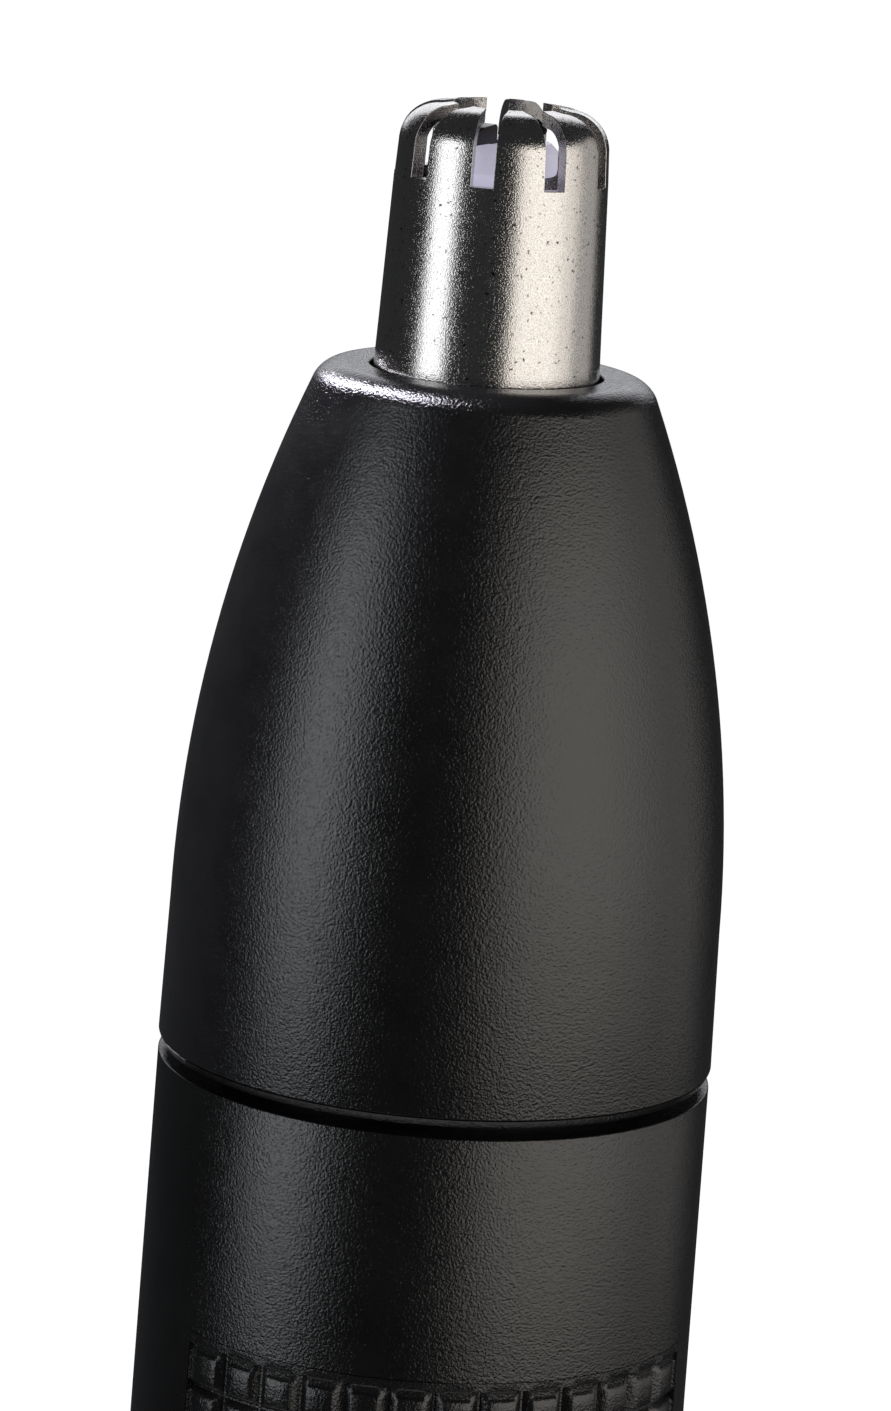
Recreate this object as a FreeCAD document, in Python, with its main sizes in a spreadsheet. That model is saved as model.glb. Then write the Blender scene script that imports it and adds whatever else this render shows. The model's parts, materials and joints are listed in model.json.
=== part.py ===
import FreeCAD
import Part

import os
import re
from math import cos, pi, radians, sin

import Sketcher

# A battery-driven nose hair trimmer, standing upright on its end cap.
# Millimetres, +Z up along the axis, origin at the centre of the base.
# The front, with the grip panel and the switch, faces -Y.

SIZES = [
    ("Handle shell", [
        ("handle_top", 100.4, "top edge of the shell above the base"),
        ("top_radius", 11.35, "outside radius at the top edge"),
        ("flare", 0.0089, "growth of the outside radius per mm downwards"),
        ("bore_radius", 9.9, "inside radius"),
        ("top_wall", 1.5, "end wall round the neck"),
        ("edge_round", 0.15, "rounding of the top edge"),
        ("edge_bevel", 0.25, "bevel of the lower edge"),
    ]),
    ("Grip panel", [
        ("panel_top_drop", 10.0, "panel's upper edge below the shell's top edge"),
        ("panel_length", 50.0, "height of the panel"),
        ("panel_angle", 123.0, "part of a turn that the recess covers"),
        ("panel_seam", 0.12, "gap between the panel and its recess"),
        ("panel_floor", 10.75, "radius of the recess floor"),
        ("pad_columns", 13, "raised pads across the panel"),
        ("pad_angle", 9.34, "pitch of the columns in degrees"),
        ("pad_pitch", 1.7, "pitch of the rows"),
        ("pad_rows", 28, "rows of pads"),
        ("pad_start", 0.55, "first groove below the panel's upper edge"),
        ("groove_depth", 0.35, "depth of the grooves between pads"),
        ("row_groove", 0.5, "width of the grooves between rows"),
        ("column_groove", 0.72, "width of the grooves between columns"),
        ("rim_groove", 0.24, "width of the grooves round the grid"),
        ("rim_groove_depth", 0.12, "depth of the grooves round the grid"),
    ]),
    ("Switch", [
        ("switch_mid", 60.0, "middle of the slider at off"),
        ("switch_travel", 4.0, "stroke from off to on"),
        ("slider_width", 9.0, "across the slider"),
        ("slider_length", 13.0, "height of the slider"),
        ("slider_corner", 2.0, "corner radius seen from the front"),
        ("slider_play", 0.2, "gap round the slider in its window"),
        ("slider_crown", 12.45, "radius of the slider's outer face"),
        ("slider_seat", 10.82, "radius of the slider's inner face"),
        ("rib_pitch", 1.8, "pitch of the slider's finger ribs"),
        ("rib_count", 5, "number of valleys between the ribs"),
        ("rib_depth", 0.45, "depth of the valleys"),
        ("bezel_rim", 1.2, "width of the bezel's rim"),
        ("stem_width", 5.0, "across the slider's stem"),
        ("stem_height", 4.0, "height of the stem"),
        ("stem_end", 8.9, "stem's inner end from the axis"),
        ("bridge_gauge", 0.3, "thickness of the moving contact"),
        ("bridge_width", 6.0, "across the moving contact"),
        ("bridge_height", 5.0, "height of the moving contact"),
    ]),
    ("Chassis", [
        ("chassis_radius", 9.6, "outside of the motor cradle"),
        ("cradle_bore", 7.85, "inside of the motor cradle"),
        ("tube_radius", 8.6, "outside of the battery tube"),
        ("tube_bore", 7.35, "inside of the battery tube"),
        ("tube_foot", 25.3, "lower end of the battery tube"),
        ("bulkhead_foot", 57.35, "underside of the wall over the battery"),
        ("bulkhead_gauge", 1.95, "thickness of that wall"),
        ("motor_seat", 88.0, "underside of the wall that carries the motor"),
        ("motor_wall", 2.0, "thickness of that wall"),
        ("neck_radius", 8.75, "outside of the neck"),
        ("neck_bore", 7.0, "inside of the neck"),
        ("neck_length", 7.6, "neck above the shell's top edge"),
        ("neck_play", 0.1, "gap between the neck and the shell"),
        ("lug_angle", 20.0, "part of a turn that a bayonet lug covers"),
        ("twist_angle", 40.0, "turn between locked and free"),
        ("lug_play", 0.5, "gap beside a lug in degrees"),
        ("channel_radius", 8.0, "floor of the neck's bayonet channels"),
        ("channel_foot", 103.2, "lower end of the neck's channels"),
        ("key_width", 2.0, "key of the guard carrier"),
        ("key_radius", 7.75, "outer end of that key"),
        ("contact_flat", 8.3, "flat behind the switch contacts from the axis"),
    ]),
    ("Seals", [
        ("neck_seal_mid", 101.8, "height of the neck's O-ring"),
        ("neck_seal_mean", 8.45, "mean radius of the neck's O-ring"),
        ("neck_seal_wire", 0.55, "section radius of the neck's O-ring"),
        ("cap_seal_mid", 23.4, "height of the end cap's O-ring"),
        ("cap_seal_mean", 9.4, "mean radius of the end cap's O-ring"),
        ("cap_seal_wire", 0.45, "section radius of the end cap's O-ring"),
        ("seal_play", 0.05, "gap round an O-ring in its groove"),
        ("shaft_seal_bore", 1.72, "lip of the seal on the drive coupling"),
        ("shaft_seal_radius", 3.1, "outside of that seal"),
        ("shaft_seal_height", 2.5, "height of that seal"),
        ("seal_collar", 3.9, "outside of the collar that holds it"),
        ("collar_height", 3.0, "height of that collar"),
    ]),
    ("Motor", [
        ("motor_radius", 7.75, "outside of the can"),
        ("motor_flat", 6.0, "flat sides of the can from the axis"),
        ("motor_length", 20.0, "length of the can"),
        ("can_gauge", 0.6, "sheet of the can"),
        ("boss_radius", 3.0, "boss round the front bush"),
        ("boss_height", 1.0, "height of that boss"),
        ("axle_radius", 1.0, "motor shaft"),
        ("axle_play", 0.03, "running gap in the bushes"),
        ("axle_foot", 65.2, "lower end of the motor shaft"),
        ("axle_top", 97.0, "upper end of the motor shaft"),
        ("bush_radius", 2.2, "outside of both bushes"),
        ("screw_offset", 5.4, "motor screws from the axis"),
        ("screw_radius", 0.78, "shank of a motor screw"),
        ("screw_head", 1.25, "head of a motor screw"),
        ("head_height", 0.9, "height of that head"),
        ("core_radius", 4.9, "laminated core"),
        ("core_foot", 74.0, "lower end of the core"),
        ("core_height", 8.0, "length of the core"),
        ("core_hub", 1.95, "hub of the core"),
        ("pole_inside", 3.95, "inner face of the pole shoes"),
        ("window_angle", 84.0, "winding space between two poles"),
        ("coil_inside", 2.1, "inner face of a coil from the axis"),
        ("coil_outside", 3.4, "outer face of a coil from the axis"),
        ("coil_hole", 1.25, "half the width inside a coil"),
        ("coil_half", 1.9, "half the width of a coil"),
        ("coil_overhang", 1.1, "coil past each end of the core"),
        ("magnet_inside", 5.15, "inner face of the magnets"),
        ("magnet_outside", 7.1, "outer face of the magnets"),
        ("magnet_angle", 88.0, "part of a turn that a magnet covers"),
        ("magnet_length", 13.0, "length of the magnets"),
        ("commutator_radius", 1.9, "commutator"),
        ("commutator_foot", 69.9, "lower end of the commutator"),
        ("commutator_height", 2.6, "length of the commutator"),
        ("bell_height", 2.0, "end bell below the can"),
        ("bell_plug", 1.2, "end bell inside the can"),
        ("tab_offset", 4.8, "solder tabs from the axis"),
        ("tab_gauge", 0.4, "thickness of a solder tab"),
        ("tab_width", 2.0, "width of a solder tab"),
        ("tab_foot", 62.5, "lower end of a solder tab"),
    ]),
    ("Drive and cutter", [
        ("cutter_turn", 55.0, "angle of the cutter blade from the X axis"),
        ("coupling_radius", 1.7, "coupling where the seal runs"),
        ("coupling_foot", 89.3, "lower end of the coupling"),
        ("spring_seat", 98.2, "top of the coupling's collar"),
        ("collar_radius", 2.9, "outside of that collar"),
        ("collar_gauge", 1.2, "thickness of that collar"),
        ("tongue_radius", 1.6, "tongue that drives the cutter"),
        ("tongue_flat", 1.2, "flats of the tongue from the axis"),
        ("tongue_top", 105.0, "upper end of the tongue"),
        ("socket_play", 0.1, "gap round the tongue in its socket"),
        ("cutter_foot", 101.4, "lower end of the cutter shaft"),
        ("socket_radius", 3.0, "outside of the cutter's socket"),
        ("socket_depth", 4.35, "depth of the socket"),
        ("stalk_radius", 1.7, "cutter shaft below its journal"),
        ("stalk_top_radius", 1.5, "cutter shaft under its hub"),
        ("journal_radius", 4.0, "journal in the guide ring"),
        ("journal_play", 0.08, "running gap of that journal"),
        ("hub_radius", 2.2, "hub that holds the blade"),
        ("hub_foot", 36.45, "underside of the hub above the cover's rim"),
        ("hub_top", 37.7, "top of the hub above the cover's rim"),
        ("blade_gauge", 0.5, "thickness of the blade"),
        ("blade_slot", 0.54, "width of the hub's slot"),
        ("blade_root", 0.9, "blade inside the hub's slot"),
        ("blade_foot_half", 1.7, "half the width of the blade inside that slot"),
        ("blade_reach", 3.55, "blade's side edge from the axis"),
        ("notch_half", 1.2, "half the width between the blade's arms"),
        ("spring_mean", 2.3, "mean radius of the cutter's spring"),
        ("spring_wire", 0.17, "section radius of its wire"),
        ("spring_turns", 4, "turns of that spring"),
    ]),
    ("Head", [
        ("rim_gap", 0.45, "gap between the shell and the cover"),
        ("cover_length", 28.45, "cover from its rim to its top face"),
        ("cover_radius", 11.38, "widest outside radius, above the rim's bevel"),
        ("rim_radius", 11.17, "outside radius at the rim"),
        ("rim_bevel", 0.38, "height of the rim's bevel"),
        ("curve_foot", 6.0, "start of the curved side"),
        ("curve_radius", 11.26, "outside radius there"),
        ("curve_mid", 17.7, "a height halfway up the curved side"),
        ("curve_mid_radius", 10.02, "outside radius there"),
        ("curve_top_radius", 6.98, "outside radius under the top edge"),
        ("top_round", 0.85, "height of the rounded top edge"),
        ("cover_bore", 9.2, "inside radius over the neck"),
        ("nose_bore", 6.6, "inside radius over the guard's flange"),
        ("guard_hole", 4.72, "hole in the top face"),
        ("guard_foot", 22.6, "guard's flange above the rim"),
        ("guard_flange", 6.2, "radius of that flange"),
        ("guard_gauge", 0.57, "sheet of the guard"),
        ("guard_root_radius", 4.74, "outside radius of the tube at its flange"),
        ("shoulder_radius", 4.22, "outside radius under the dome"),
        ("shoulder_height", 37.45, "start of the dome above the rim"),
        ("dome_height", 39.15, "top of the dome above the rim"),
        ("dome_hole", 2.15, "radius of the hole in the dome"),
        ("slot_foot", 36.24, "lower end of the slots above the rim"),
        ("slot_width", 0.9, "width of the slots"),
        ("slot_count", 9, "number of slots"),
        ("ring_radius", 5.0, "outside of the guide ring"),
        ("ring_foot", 17.0, "guide ring above the rim"),
        ("ring_height", 3.4, "height of the guide ring"),
        ("plug_radius", 6.85, "carrier inside the neck"),
        ("plug_foot", 2.65, "lower end of the carrier above the rim"),
        ("carrier_bore", 5.5, "inside of the carrier"),
    ]),
    ("Battery bay", [
        ("cap_top", 18.0, "joint between the end cap and the shell"),
        ("cap_gap", 0.3, "gap at that joint"),
        ("base_radius", 9.4, "flat base of the end cap"),
        ("base_round", 2.4, "rounding of the base's edge"),
        ("base_gauge", 2.0, "floor of the end cap"),
        ("cap_bore", 8.45, "inside of the end cap"),
        ("cap_plug_radius", 9.75, "end cap inside the shell"),
        ("cap_plug_top", 25.0, "upper end of that plug"),
        ("cap_lug_foot", 19.8, "underside of the end cap's lugs"),
        ("cap_lug_height", 2.0, "height of those lugs"),
        ("cap_lug_radius", 10.65, "outer end of those lugs"),
        ("cap_channel_radius", 10.85, "floor of the shell's channels"),
        ("cap_channel_top", 22.2, "upper end of the shell's channels"),
        ("cell_radius", 7.1, "AA cell"),
        ("cell_foot", 7.0, "flat end of the cell"),
        ("cell_shoulder", 56.0, "shoulder round the cell's button"),
        ("cell_top", 56.95, "top of the cell's button"),
        ("button_radius", 2.75, "button of the cell"),
        ("cell_round", 0.5, "rolled edges of the cell"),
        ("plate_foot", 57.0, "contact plate over the cell"),
        ("contact_gauge", 0.25, "sheet of the contacts"),
        ("contact_half", 2.0, "half the width of the switch contacts"),
        ("strip_half", 1.6, "half the width of the long strip"),
        ("strip_inside", 8.0, "long strip's inner face from the axis"),
        ("finger_inside", 7.65, "end cap's contact finger from the axis"),
        ("carrier_radius", 8.2, "disc that holds the end cap's contact"),
        ("carrier_foot", 2.1, "underside of that disc"),
        ("disc_gauge", 1.5, "thickness of that disc"),
        ("coil_mean", 4.6, "mean radius of the battery spring"),
        ("coil_wire", 0.35, "section radius of the battery spring"),
        ("coil_turns", 3, "turns of the battery spring"),
    ]),
]

RIM = "(handle_top + rim_gap)"
CAP_JOINT = "(cap_top + cap_gap)"
PANEL_TOP = "(handle_top - panel_top_drop)"
PANEL_FOOT = "(handle_top - panel_top_drop - panel_length)"
MOTOR_FOOT = "(motor_seat - motor_length)"
NECK_TOP = "(handle_top + neck_length)"
BULKHEAD_TOP = "(bulkhead_foot + bulkhead_gauge)"
WINDOW_FOOT = "(switch_mid - slider_length / 2 - slider_play)"
WINDOW_TOP = "(switch_mid + slider_length / 2 + switch_travel + slider_play)"
WINDOW_HALF = "(slider_width / 2 + slider_play)"

doc = FreeCAD.newDocument("NoseHairTrimmer")
sheet = doc.addObject("Spreadsheet::Sheet", "Sizes")
aliases = set()


def fill_sheet():
    row = 1
    for group, cells in SIZES:
        sheet.set(f"A{row}", group)
        row += 1
        for alias, size, note in cells:
            sheet.set(f"A{row}", note)
            sheet.set(f"B{row}", str(size))
            sheet.setAlias(f"B{row}", alias)
            aliases.add(alias)
            row += 1
    doc.recompute()


def link(formula):
    """The formula as an expression, with the sheet's name before each alias."""
    def named(word):
        return f"Sizes.{word.group()}" if word.group() in aliases else word.group()
    return re.sub(r"[a-z]\w*", named, formula)


def size(formula):
    return float(sheet.evalExpression(link(formula)))


def outside(height):
    """Formula for the handle's outside radius at a height."""
    return f"(top_radius + flare * (handle_top - {height}))"


# ---- sketches ------------------------------------------------------------

def new_body(name, height="0", turn=None):
    """A body whose origin stands at a height on the axis, turned about it."""
    body = doc.addObject("PartDesign::Body", name)
    body.Label = name
    body.AllowCompound = True
    if height != "0":
        body.setExpression("Placement.Base.z", link(height))
    if turn:
        body.Placement.Rotation = FreeCAD.Rotation(FreeCAD.Vector(0, 0, 1), size(turn))
        body.setExpression("Placement.Rotation.Angle", link(turn))
    return body


def new_sketch(body, plane, height="0"):
    sketch = body.newObject("Sketcher::SketchObject", body.Name + "Sketch")
    support = [item for item in body.Origin.OriginFeatures if item.Role == plane]
    sketch.AttachmentSupport = [(support[0], "")]
    sketch.MapMode = "FlatFace"
    if height != "0":
        sketch.setExpression("AttachmentOffset.Base.z", link(height))
    return sketch


def fix_point(sketch, curve, end, point):
    """Hold one end of a curve at a point given by two formulas."""
    for kind, axis, formula in (("DistanceX", -2, point[0]), ("DistanceY", -1, point[1])):
        if formula == "0":
            sketch.addConstraint(Sketcher.Constraint("PointOnObject", curve, end, axis))
        else:
            held = sketch.addConstraint(Sketcher.Constraint(kind, curve, end, size(formula)))
            sketch.setExpression(f"Constraints[{held}]", link(formula))


def outline(sketch, points):
    """Draw a closed outline. A third item marks a point that an arc passes through."""
    def spot(point):
        return FreeCAD.Vector(size(point[0]), size(point[1]), 0)

    count = len(points)
    spans = []
    for index, point in enumerate(points):
        if len(point) == 3:
            continue
        after = points[(index + 1) % count]
        if len(after) == 3:
            end = points[(index + 2) % count]
            curve = sketch.addGeometry(Part.Arc(spot(point), spot(after), spot(end)))
            dot = sketch.addGeometry(Part.Point(spot(after)), True)
            fix_point(sketch, dot, 1, after)
            sketch.addConstraint(Sketcher.Constraint("PointOnObject", dot, 1, curve))
        else:
            curve = sketch.addGeometry(Part.LineSegment(spot(point), spot(after)))
        forward = (sketch.getPoint(curve, 1) - spot(point)).Length < 1e-4
        spans.append((curve, 1 if forward else 2, point))
    for index, (curve, start, point) in enumerate(spans):
        before, before_start, _ = spans[index - 1]
        sketch.addConstraint(Sketcher.Constraint("Coincident", before, 3 - before_start, curve, start))
        fix_point(sketch, curve, start, point)


def rectangle(sketch, low, high):
    outline(sketch, [low, (high[0], low[1]), high, (low[0], high[1])])


def circle(sketch, radius, across="0", along="0"):
    middle = FreeCAD.Vector(size(across), size(along), 0)
    ring = sketch.addGeometry(Part.Circle(middle, FreeCAD.Vector(0, 0, 1), size(radius)))
    fix_point(sketch, ring, 3, (across, along))
    held = sketch.addConstraint(Sketcher.Constraint("Radius", ring, size(radius)))
    sketch.setExpression(f"Constraints[{held}]", link(radius))


# ---- features ------------------------------------------------------------

def feature(body, kind, sketch):
    made = body.newObject("PartDesign::" + kind, body.Name + kind)
    made.Profile = sketch
    return made


def settle(body, made, volume_before, adds):
    """Recompute, and stop when a feature did not change the body as it should."""
    doc.recompute()
    change = body.Shape.Volume - volume_before
    if (change > 0) != adds or abs(change) < 1e-6:
        raise RuntimeError(f"{made.Name} changed nothing in {body.Label}")
    return made


def volume(body):
    return 0.0 if body.Shape.isNull() else body.Shape.Volume


def turned(body, points, adds=True, angle=None, behind=None, plane="XZ_Plane"):
    """Revolve an outline about the axis; with an angle, half of it each way."""
    before = volume(body)
    sketch = new_sketch(body, plane)
    outline(sketch, points)
    made = feature(body, "Revolution" if adds else "Groove", sketch)
    made.ReferenceAxis = (sketch, ["V_Axis"])
    made.Angle = 360
    if behind:
        made.Type = "TwoAngles"
        made.setExpression("Angle", link(angle))
        made.setExpression("Angle2", link(behind))
    elif angle:
        made.Midplane = True
        made.setExpression("Angle", link(angle))
    return settle(body, made, before, adds)


def raised(body, draw, foot, length, adds=True):
    """Pad or pocket upwards from a height; draw puts the outline in the sketch."""
    before = volume(body)
    sketch = new_sketch(body, "XY_Plane", foot)
    draw(sketch)
    made = feature(body, "Pad" if adds else "Pocket", sketch)
    made.setExpression("Length", link(length))
    made.Reversed = not adds
    return settle(body, made, before, adds)


def block(body, low, high, adds=True):
    """Add or cut a box between two corners given as formulas."""
    def draw(sketch):
        rectangle(sketch, low[:2], high[:2])
    return raised(body, draw, low[2], f"({high[2]}) - ({low[2]})", adds)


def hole(body, radius, foot, length, across="0", adds=False):
    def draw(sketch):
        circle(sketch, radius, across)
    return raised(body, draw, foot, length, adds)


def repeat(body, made, count):
    """Copy a feature evenly round the axis."""
    pattern = body.newObject("PartDesign::PolarPattern", body.Name + "Pattern")
    pattern.Originals = [made]
    axis = [item for item in body.Origin.OriginFeatures if item.Role == "Z_Axis"]
    pattern.Axis = (axis[0], [""])
    pattern.Angle = 360
    if isinstance(count, int):
        pattern.Occurrences = count
    else:
        pattern.setExpression("Occurrences", link(count))
    body.Tip = pattern
    doc.recompute()


def can_outline(radius, flat):
    """A circle with two flats across Y."""
    corner = f"sqrt({radius} ^ 2 - {flat} ^ 2)"
    return [
        (corner, f"-({flat})"), (radius, "0", "arc"), (corner, flat),
        (f"-{corner}", flat), (f"-({radius})", "0", "arc"), (f"-{corner}", f"-({flat})"),
    ]


def flatted(body, radius, flat, foot, length, adds=True):
    def draw(sketch):
        outline(sketch, can_outline(radius, flat))
    return raised(body, draw, foot, length, adds)


def ring(name, mean, wire, height):
    """An O-ring."""
    made = doc.addObject("Part::Torus", name)
    made.Label = name
    made.setExpression("Radius1", link(mean))
    made.setExpression("Radius2", link(wire))
    made.setExpression("Placement.Base.z", link(height))
    return made


def coil(name, height, mean, wire, turns, length, turn=None):
    """A spring of round wire."""
    body = new_body(name, height, turn)
    sketch = new_sketch(body, "XZ_Plane")
    circle(sketch, wire, mean, wire)
    made = body.newObject("PartDesign::AdditiveHelix", name + "Helix")
    made.Profile = sketch
    made.ReferenceAxis = (sketch, ["V_Axis"])
    made.Mode = "height-turns-angle"
    made.setExpression("Height", link(length))
    made.setExpression("Turns", link(turns))
    settle(body, made, 0.0, True)
    return body


# ---- handle --------------------------------------------------------------

def handle_shell():
    body = new_body("handle_shell")
    low_edge = f"{CAP_JOINT} + edge_bevel"
    high_edge = "handle_top - edge_round"
    turned(body, [
        ("bore_radius", CAP_JOINT),
        (f"{outside(CAP_JOINT)} - edge_bevel", CAP_JOINT),
        (outside(f"({low_edge})"), low_edge),
        ("top_radius + flare * edge_round", high_edge),
        ("top_radius - edge_round * 0.29", "handle_top - edge_round * 0.29", "arc"),
        ("top_radius - edge_round", "handle_top"),
        ("neck_radius + neck_play", "handle_top"),
        ("neck_radius + neck_play", "handle_top - top_wall"),
        ("bore_radius", "handle_top - top_wall"),
    ])
    # recess for the grip panel, centred on the front
    turned(body, [
        ("-panel_floor", PANEL_FOOT), ("-panel_floor", PANEL_TOP),
        ("-top_radius - 3", PANEL_TOP), ("-top_radius - 3", PANEL_FOOT),
    ], adds=False, angle="panel_angle", plane="YZ_Plane")
    # slot for the switch's stem
    slot_foot = "switch_mid - stem_height / 2 - slider_play"
    slot_top = "switch_mid + stem_height / 2 + switch_travel + slider_play"
    block(body, ("-stem_width / 2 - slider_play", "-top_radius - 2", slot_foot),
          ("stem_width / 2 + slider_play", "-stem_end", slot_top), adds=False)
    # channels in which the end cap's lugs turn
    channel = turned(body, [
        ("bore_radius - 0.3", f"{CAP_JOINT} - 1"), ("cap_channel_radius", f"{CAP_JOINT} - 1"),
        ("cap_channel_radius", "cap_channel_top"), ("bore_radius - 0.3", "cap_channel_top"),
    ], adds=False, angle="twist_angle + lug_angle / 2 + lug_play", behind="lug_angle / 2 + lug_play")
    repeat(body, channel, 2)
    return body


def grip_panel():
    """Curved plate, flush with the handle, with a grid of V grooves that leaves raised pads."""
    seam = size("panel_seam")
    foot = size(PANEL_FOOT) + seam
    top = size(PANEL_TOP) - seam
    inner = size("panel_floor")
    reach = 1.0
    flare = size("flare")

    def skin(height):
        return size("top_radius") + flare * (size("handle_top") - height)

    def wedge(section, span):
        """Turn a section through an angle that is centred on the front."""
        face = Part.Face(Part.makePolygon([FreeCAD.Vector(r, 0, z) for r, z in section + section[:1]]))
        face.rotate(FreeCAD.Vector(), FreeCAD.Vector(0, 0, 1), -90 - span / 2)
        return face.revolve(FreeCAD.Vector(), FreeCAD.Vector(0, 0, 1), span)

    seam_angle = 2 * seam / size("top_radius") * 180 / pi
    span = size("panel_angle") - seam_angle
    plate = wedge([(inner, foot), (skin(foot), foot), (skin(top), top), (inner, top)], span)

    def groove(index, last, width):
        """Depth of a groove and half its width where it leaves the panel's skin, with the tool's reach."""
        rim = index in (0, last)
        depth = size("rim_groove_depth" if rim else "groove_depth")
        half = size("rim_groove" if rim else width) / 2
        return depth, half * (depth + reach) / depth

    tools = []
    last_row = int(size("pad_rows"))
    last_column = int(size("pad_columns"))
    first = size(PANEL_TOP) - size("pad_start")
    grid_angle = size("pad_columns * pad_angle")
    for row in range(last_row + 1):
        level = first - row * size("pad_pitch")
        depth, spread = groove(row, last_row, "row_groove")
        tools.append(wedge([
            (skin(level) - depth, level),
            (skin(level) + reach, level + spread),
            (skin(level) + reach, level - spread),
        ], grid_angle))
    low = first - size("pad_rows * pad_pitch")
    for column in range(last_column + 1):
        turn = radians(-90 - grid_angle / 2 + column * size("pad_angle"))
        outward = FreeCAD.Vector(cos(turn), sin(turn), 0)
        sideways = FreeCAD.Vector(-sin(turn), cos(turn), 0)
        depth, spread = groove(column, last_column, "column_groove")
        corners = [
            outward * (skin(low) - depth),
            outward * (skin(low) + reach) + sideways * spread,
            outward * (skin(low) + reach) - sideways * spread,
        ]
        corners = [corner + FreeCAD.Vector(0, 0, low) for corner in corners]
        run = FreeCAD.Vector(0, 0, first - low) - outward * (skin(low) - skin(first))
        tools.append(Part.Face(Part.makePolygon(corners + corners[:1])).extrude(run))
    # window for the bezel of the switch
    rim = size("bezel_rim")
    wide = 2 * (size(WINDOW_HALF) + rim)
    tall = size(WINDOW_TOP) - size(WINDOW_FOOT) + 2 * rim
    corner = FreeCAD.Vector(-wide / 2, -2 * inner, size(WINDOW_FOOT) - rim)
    tools.append(Part.makeBox(wide, 2 * inner, tall, corner))
    made = doc.addObject("Part::Feature", "grip_panel")
    made.Label = "grip_panel"
    made.Shape = plate.cut(tools)
    made.Placement = FreeCAD.Placement()
    return made


def front_slab(body, half, foot, top, corner):
    """Pad a rounded rectangle out through the front of the handle."""
    before = volume(body)
    sketch = new_sketch(body, "XZ_Plane", "stem_end")
    inset = f"{corner} * 0.29"
    outline(sketch, [
        (f"-({half}) + {corner}", foot), (f"{half} - {corner}", foot),
        (f"{half} - {inset}", f"{foot} + {inset}", "arc"),
        (half, f"{foot} + {corner}"), (half, f"{top} - {corner}"),
        (f"{half} - {inset}", f"{top} - {inset}", "arc"),
        (f"{half} - {corner}", top), (f"-({half}) + {corner}", top),
        (f"-({half}) + {inset}", f"{top} - {inset}", "arc"),
        (f"-({half})", f"{top} - {corner}"), (f"-({half})", f"{foot} + {corner}"),
        (f"-({half}) + {inset}", f"{foot} + {inset}", "arc"),
    ])
    made = feature(body, "Pad", sketch)
    made.Length = 6
    return settle(body, made, before, True)


def trim_round(body, inner, outer_low, outer_high, foot, top):
    """Cut a front slab back to the room between two radii."""
    turned(body, [("0", f"{foot} - 1"), (inner, f"{foot} - 1"), (inner, f"{top} + 1"), ("0", f"{top} + 1")],
           adds=False)
    turned(body, [
        (outer_low, f"{foot} - 1"), ("top_radius + 12", f"{foot} - 1"),
        ("top_radius + 12", f"{top} + 1"), (outer_high, f"{top} + 1"),
    ], adds=False)


def switch_bezel():
    body = new_body("switch_bezel")
    gap = "0.04"
    foot = f"({WINDOW_FOOT} - bezel_rim + {gap})"
    top = f"({WINDOW_TOP} + bezel_rim - {gap})"
    half = f"({WINDOW_HALF} + bezel_rim - {gap})"
    front_slab(body, half, foot, top, "0.3")
    trim_round(body, "panel_floor", outside(f"({foot} - 1)"), outside(f"({top} + 1)"), foot, top)
    block(body, (f"-{WINDOW_HALF}", "-top_radius - 5", WINDOW_FOOT), (WINDOW_HALF, "0", WINDOW_TOP), adds=False)
    return body


def switch_slider():
    body = new_body("switch_slider")
    foot = "(switch_mid - slider_length / 2)"
    top = "(switch_mid + slider_length / 2)"
    front_slab(body, "slider_width / 2", foot, top, "slider_corner")
    trim_round(body, "slider_seat", "slider_crown", "slider_crown", foot, top)
    for index in range(int(size("rib_count"))):
        level = f"switch_mid + rib_pitch * ({index} - (rib_count - 1) / 2)"
        turned(body, [
            ("slider_crown - rib_depth", level),
            ("slider_crown + rib_depth", f"{level} - rib_pitch * 0.7"),
            ("slider_crown + rib_depth", f"{level} + rib_pitch * 0.7"),
        ], adds=False)
    block(body, ("-stem_width / 2", "-slider_seat - 0.3", "switch_mid - stem_height / 2"),
          ("stem_width / 2", "-stem_end", "switch_mid + stem_height / 2"))
    return body


def switch_bridge():
    """Spring-brass contact under the stem, with a lip bent out at each end."""
    body = new_body("switch_bridge")
    foot = "switch_mid - bridge_height / 2"
    top = "switch_mid + bridge_height / 2"
    block(body, ("-bridge_width / 2", "-stem_end", foot), ("bridge_width / 2", "-stem_end + bridge_gauge", top))
    for low, high in (("-bridge_width / 2", "-stem_width / 2 - 0.1"), ("stem_width / 2 + 0.1", "bridge_width / 2")):
        block(body, (low, "-stem_end - bridge_gauge", foot), (high, "-stem_end", top))
    return body


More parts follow.
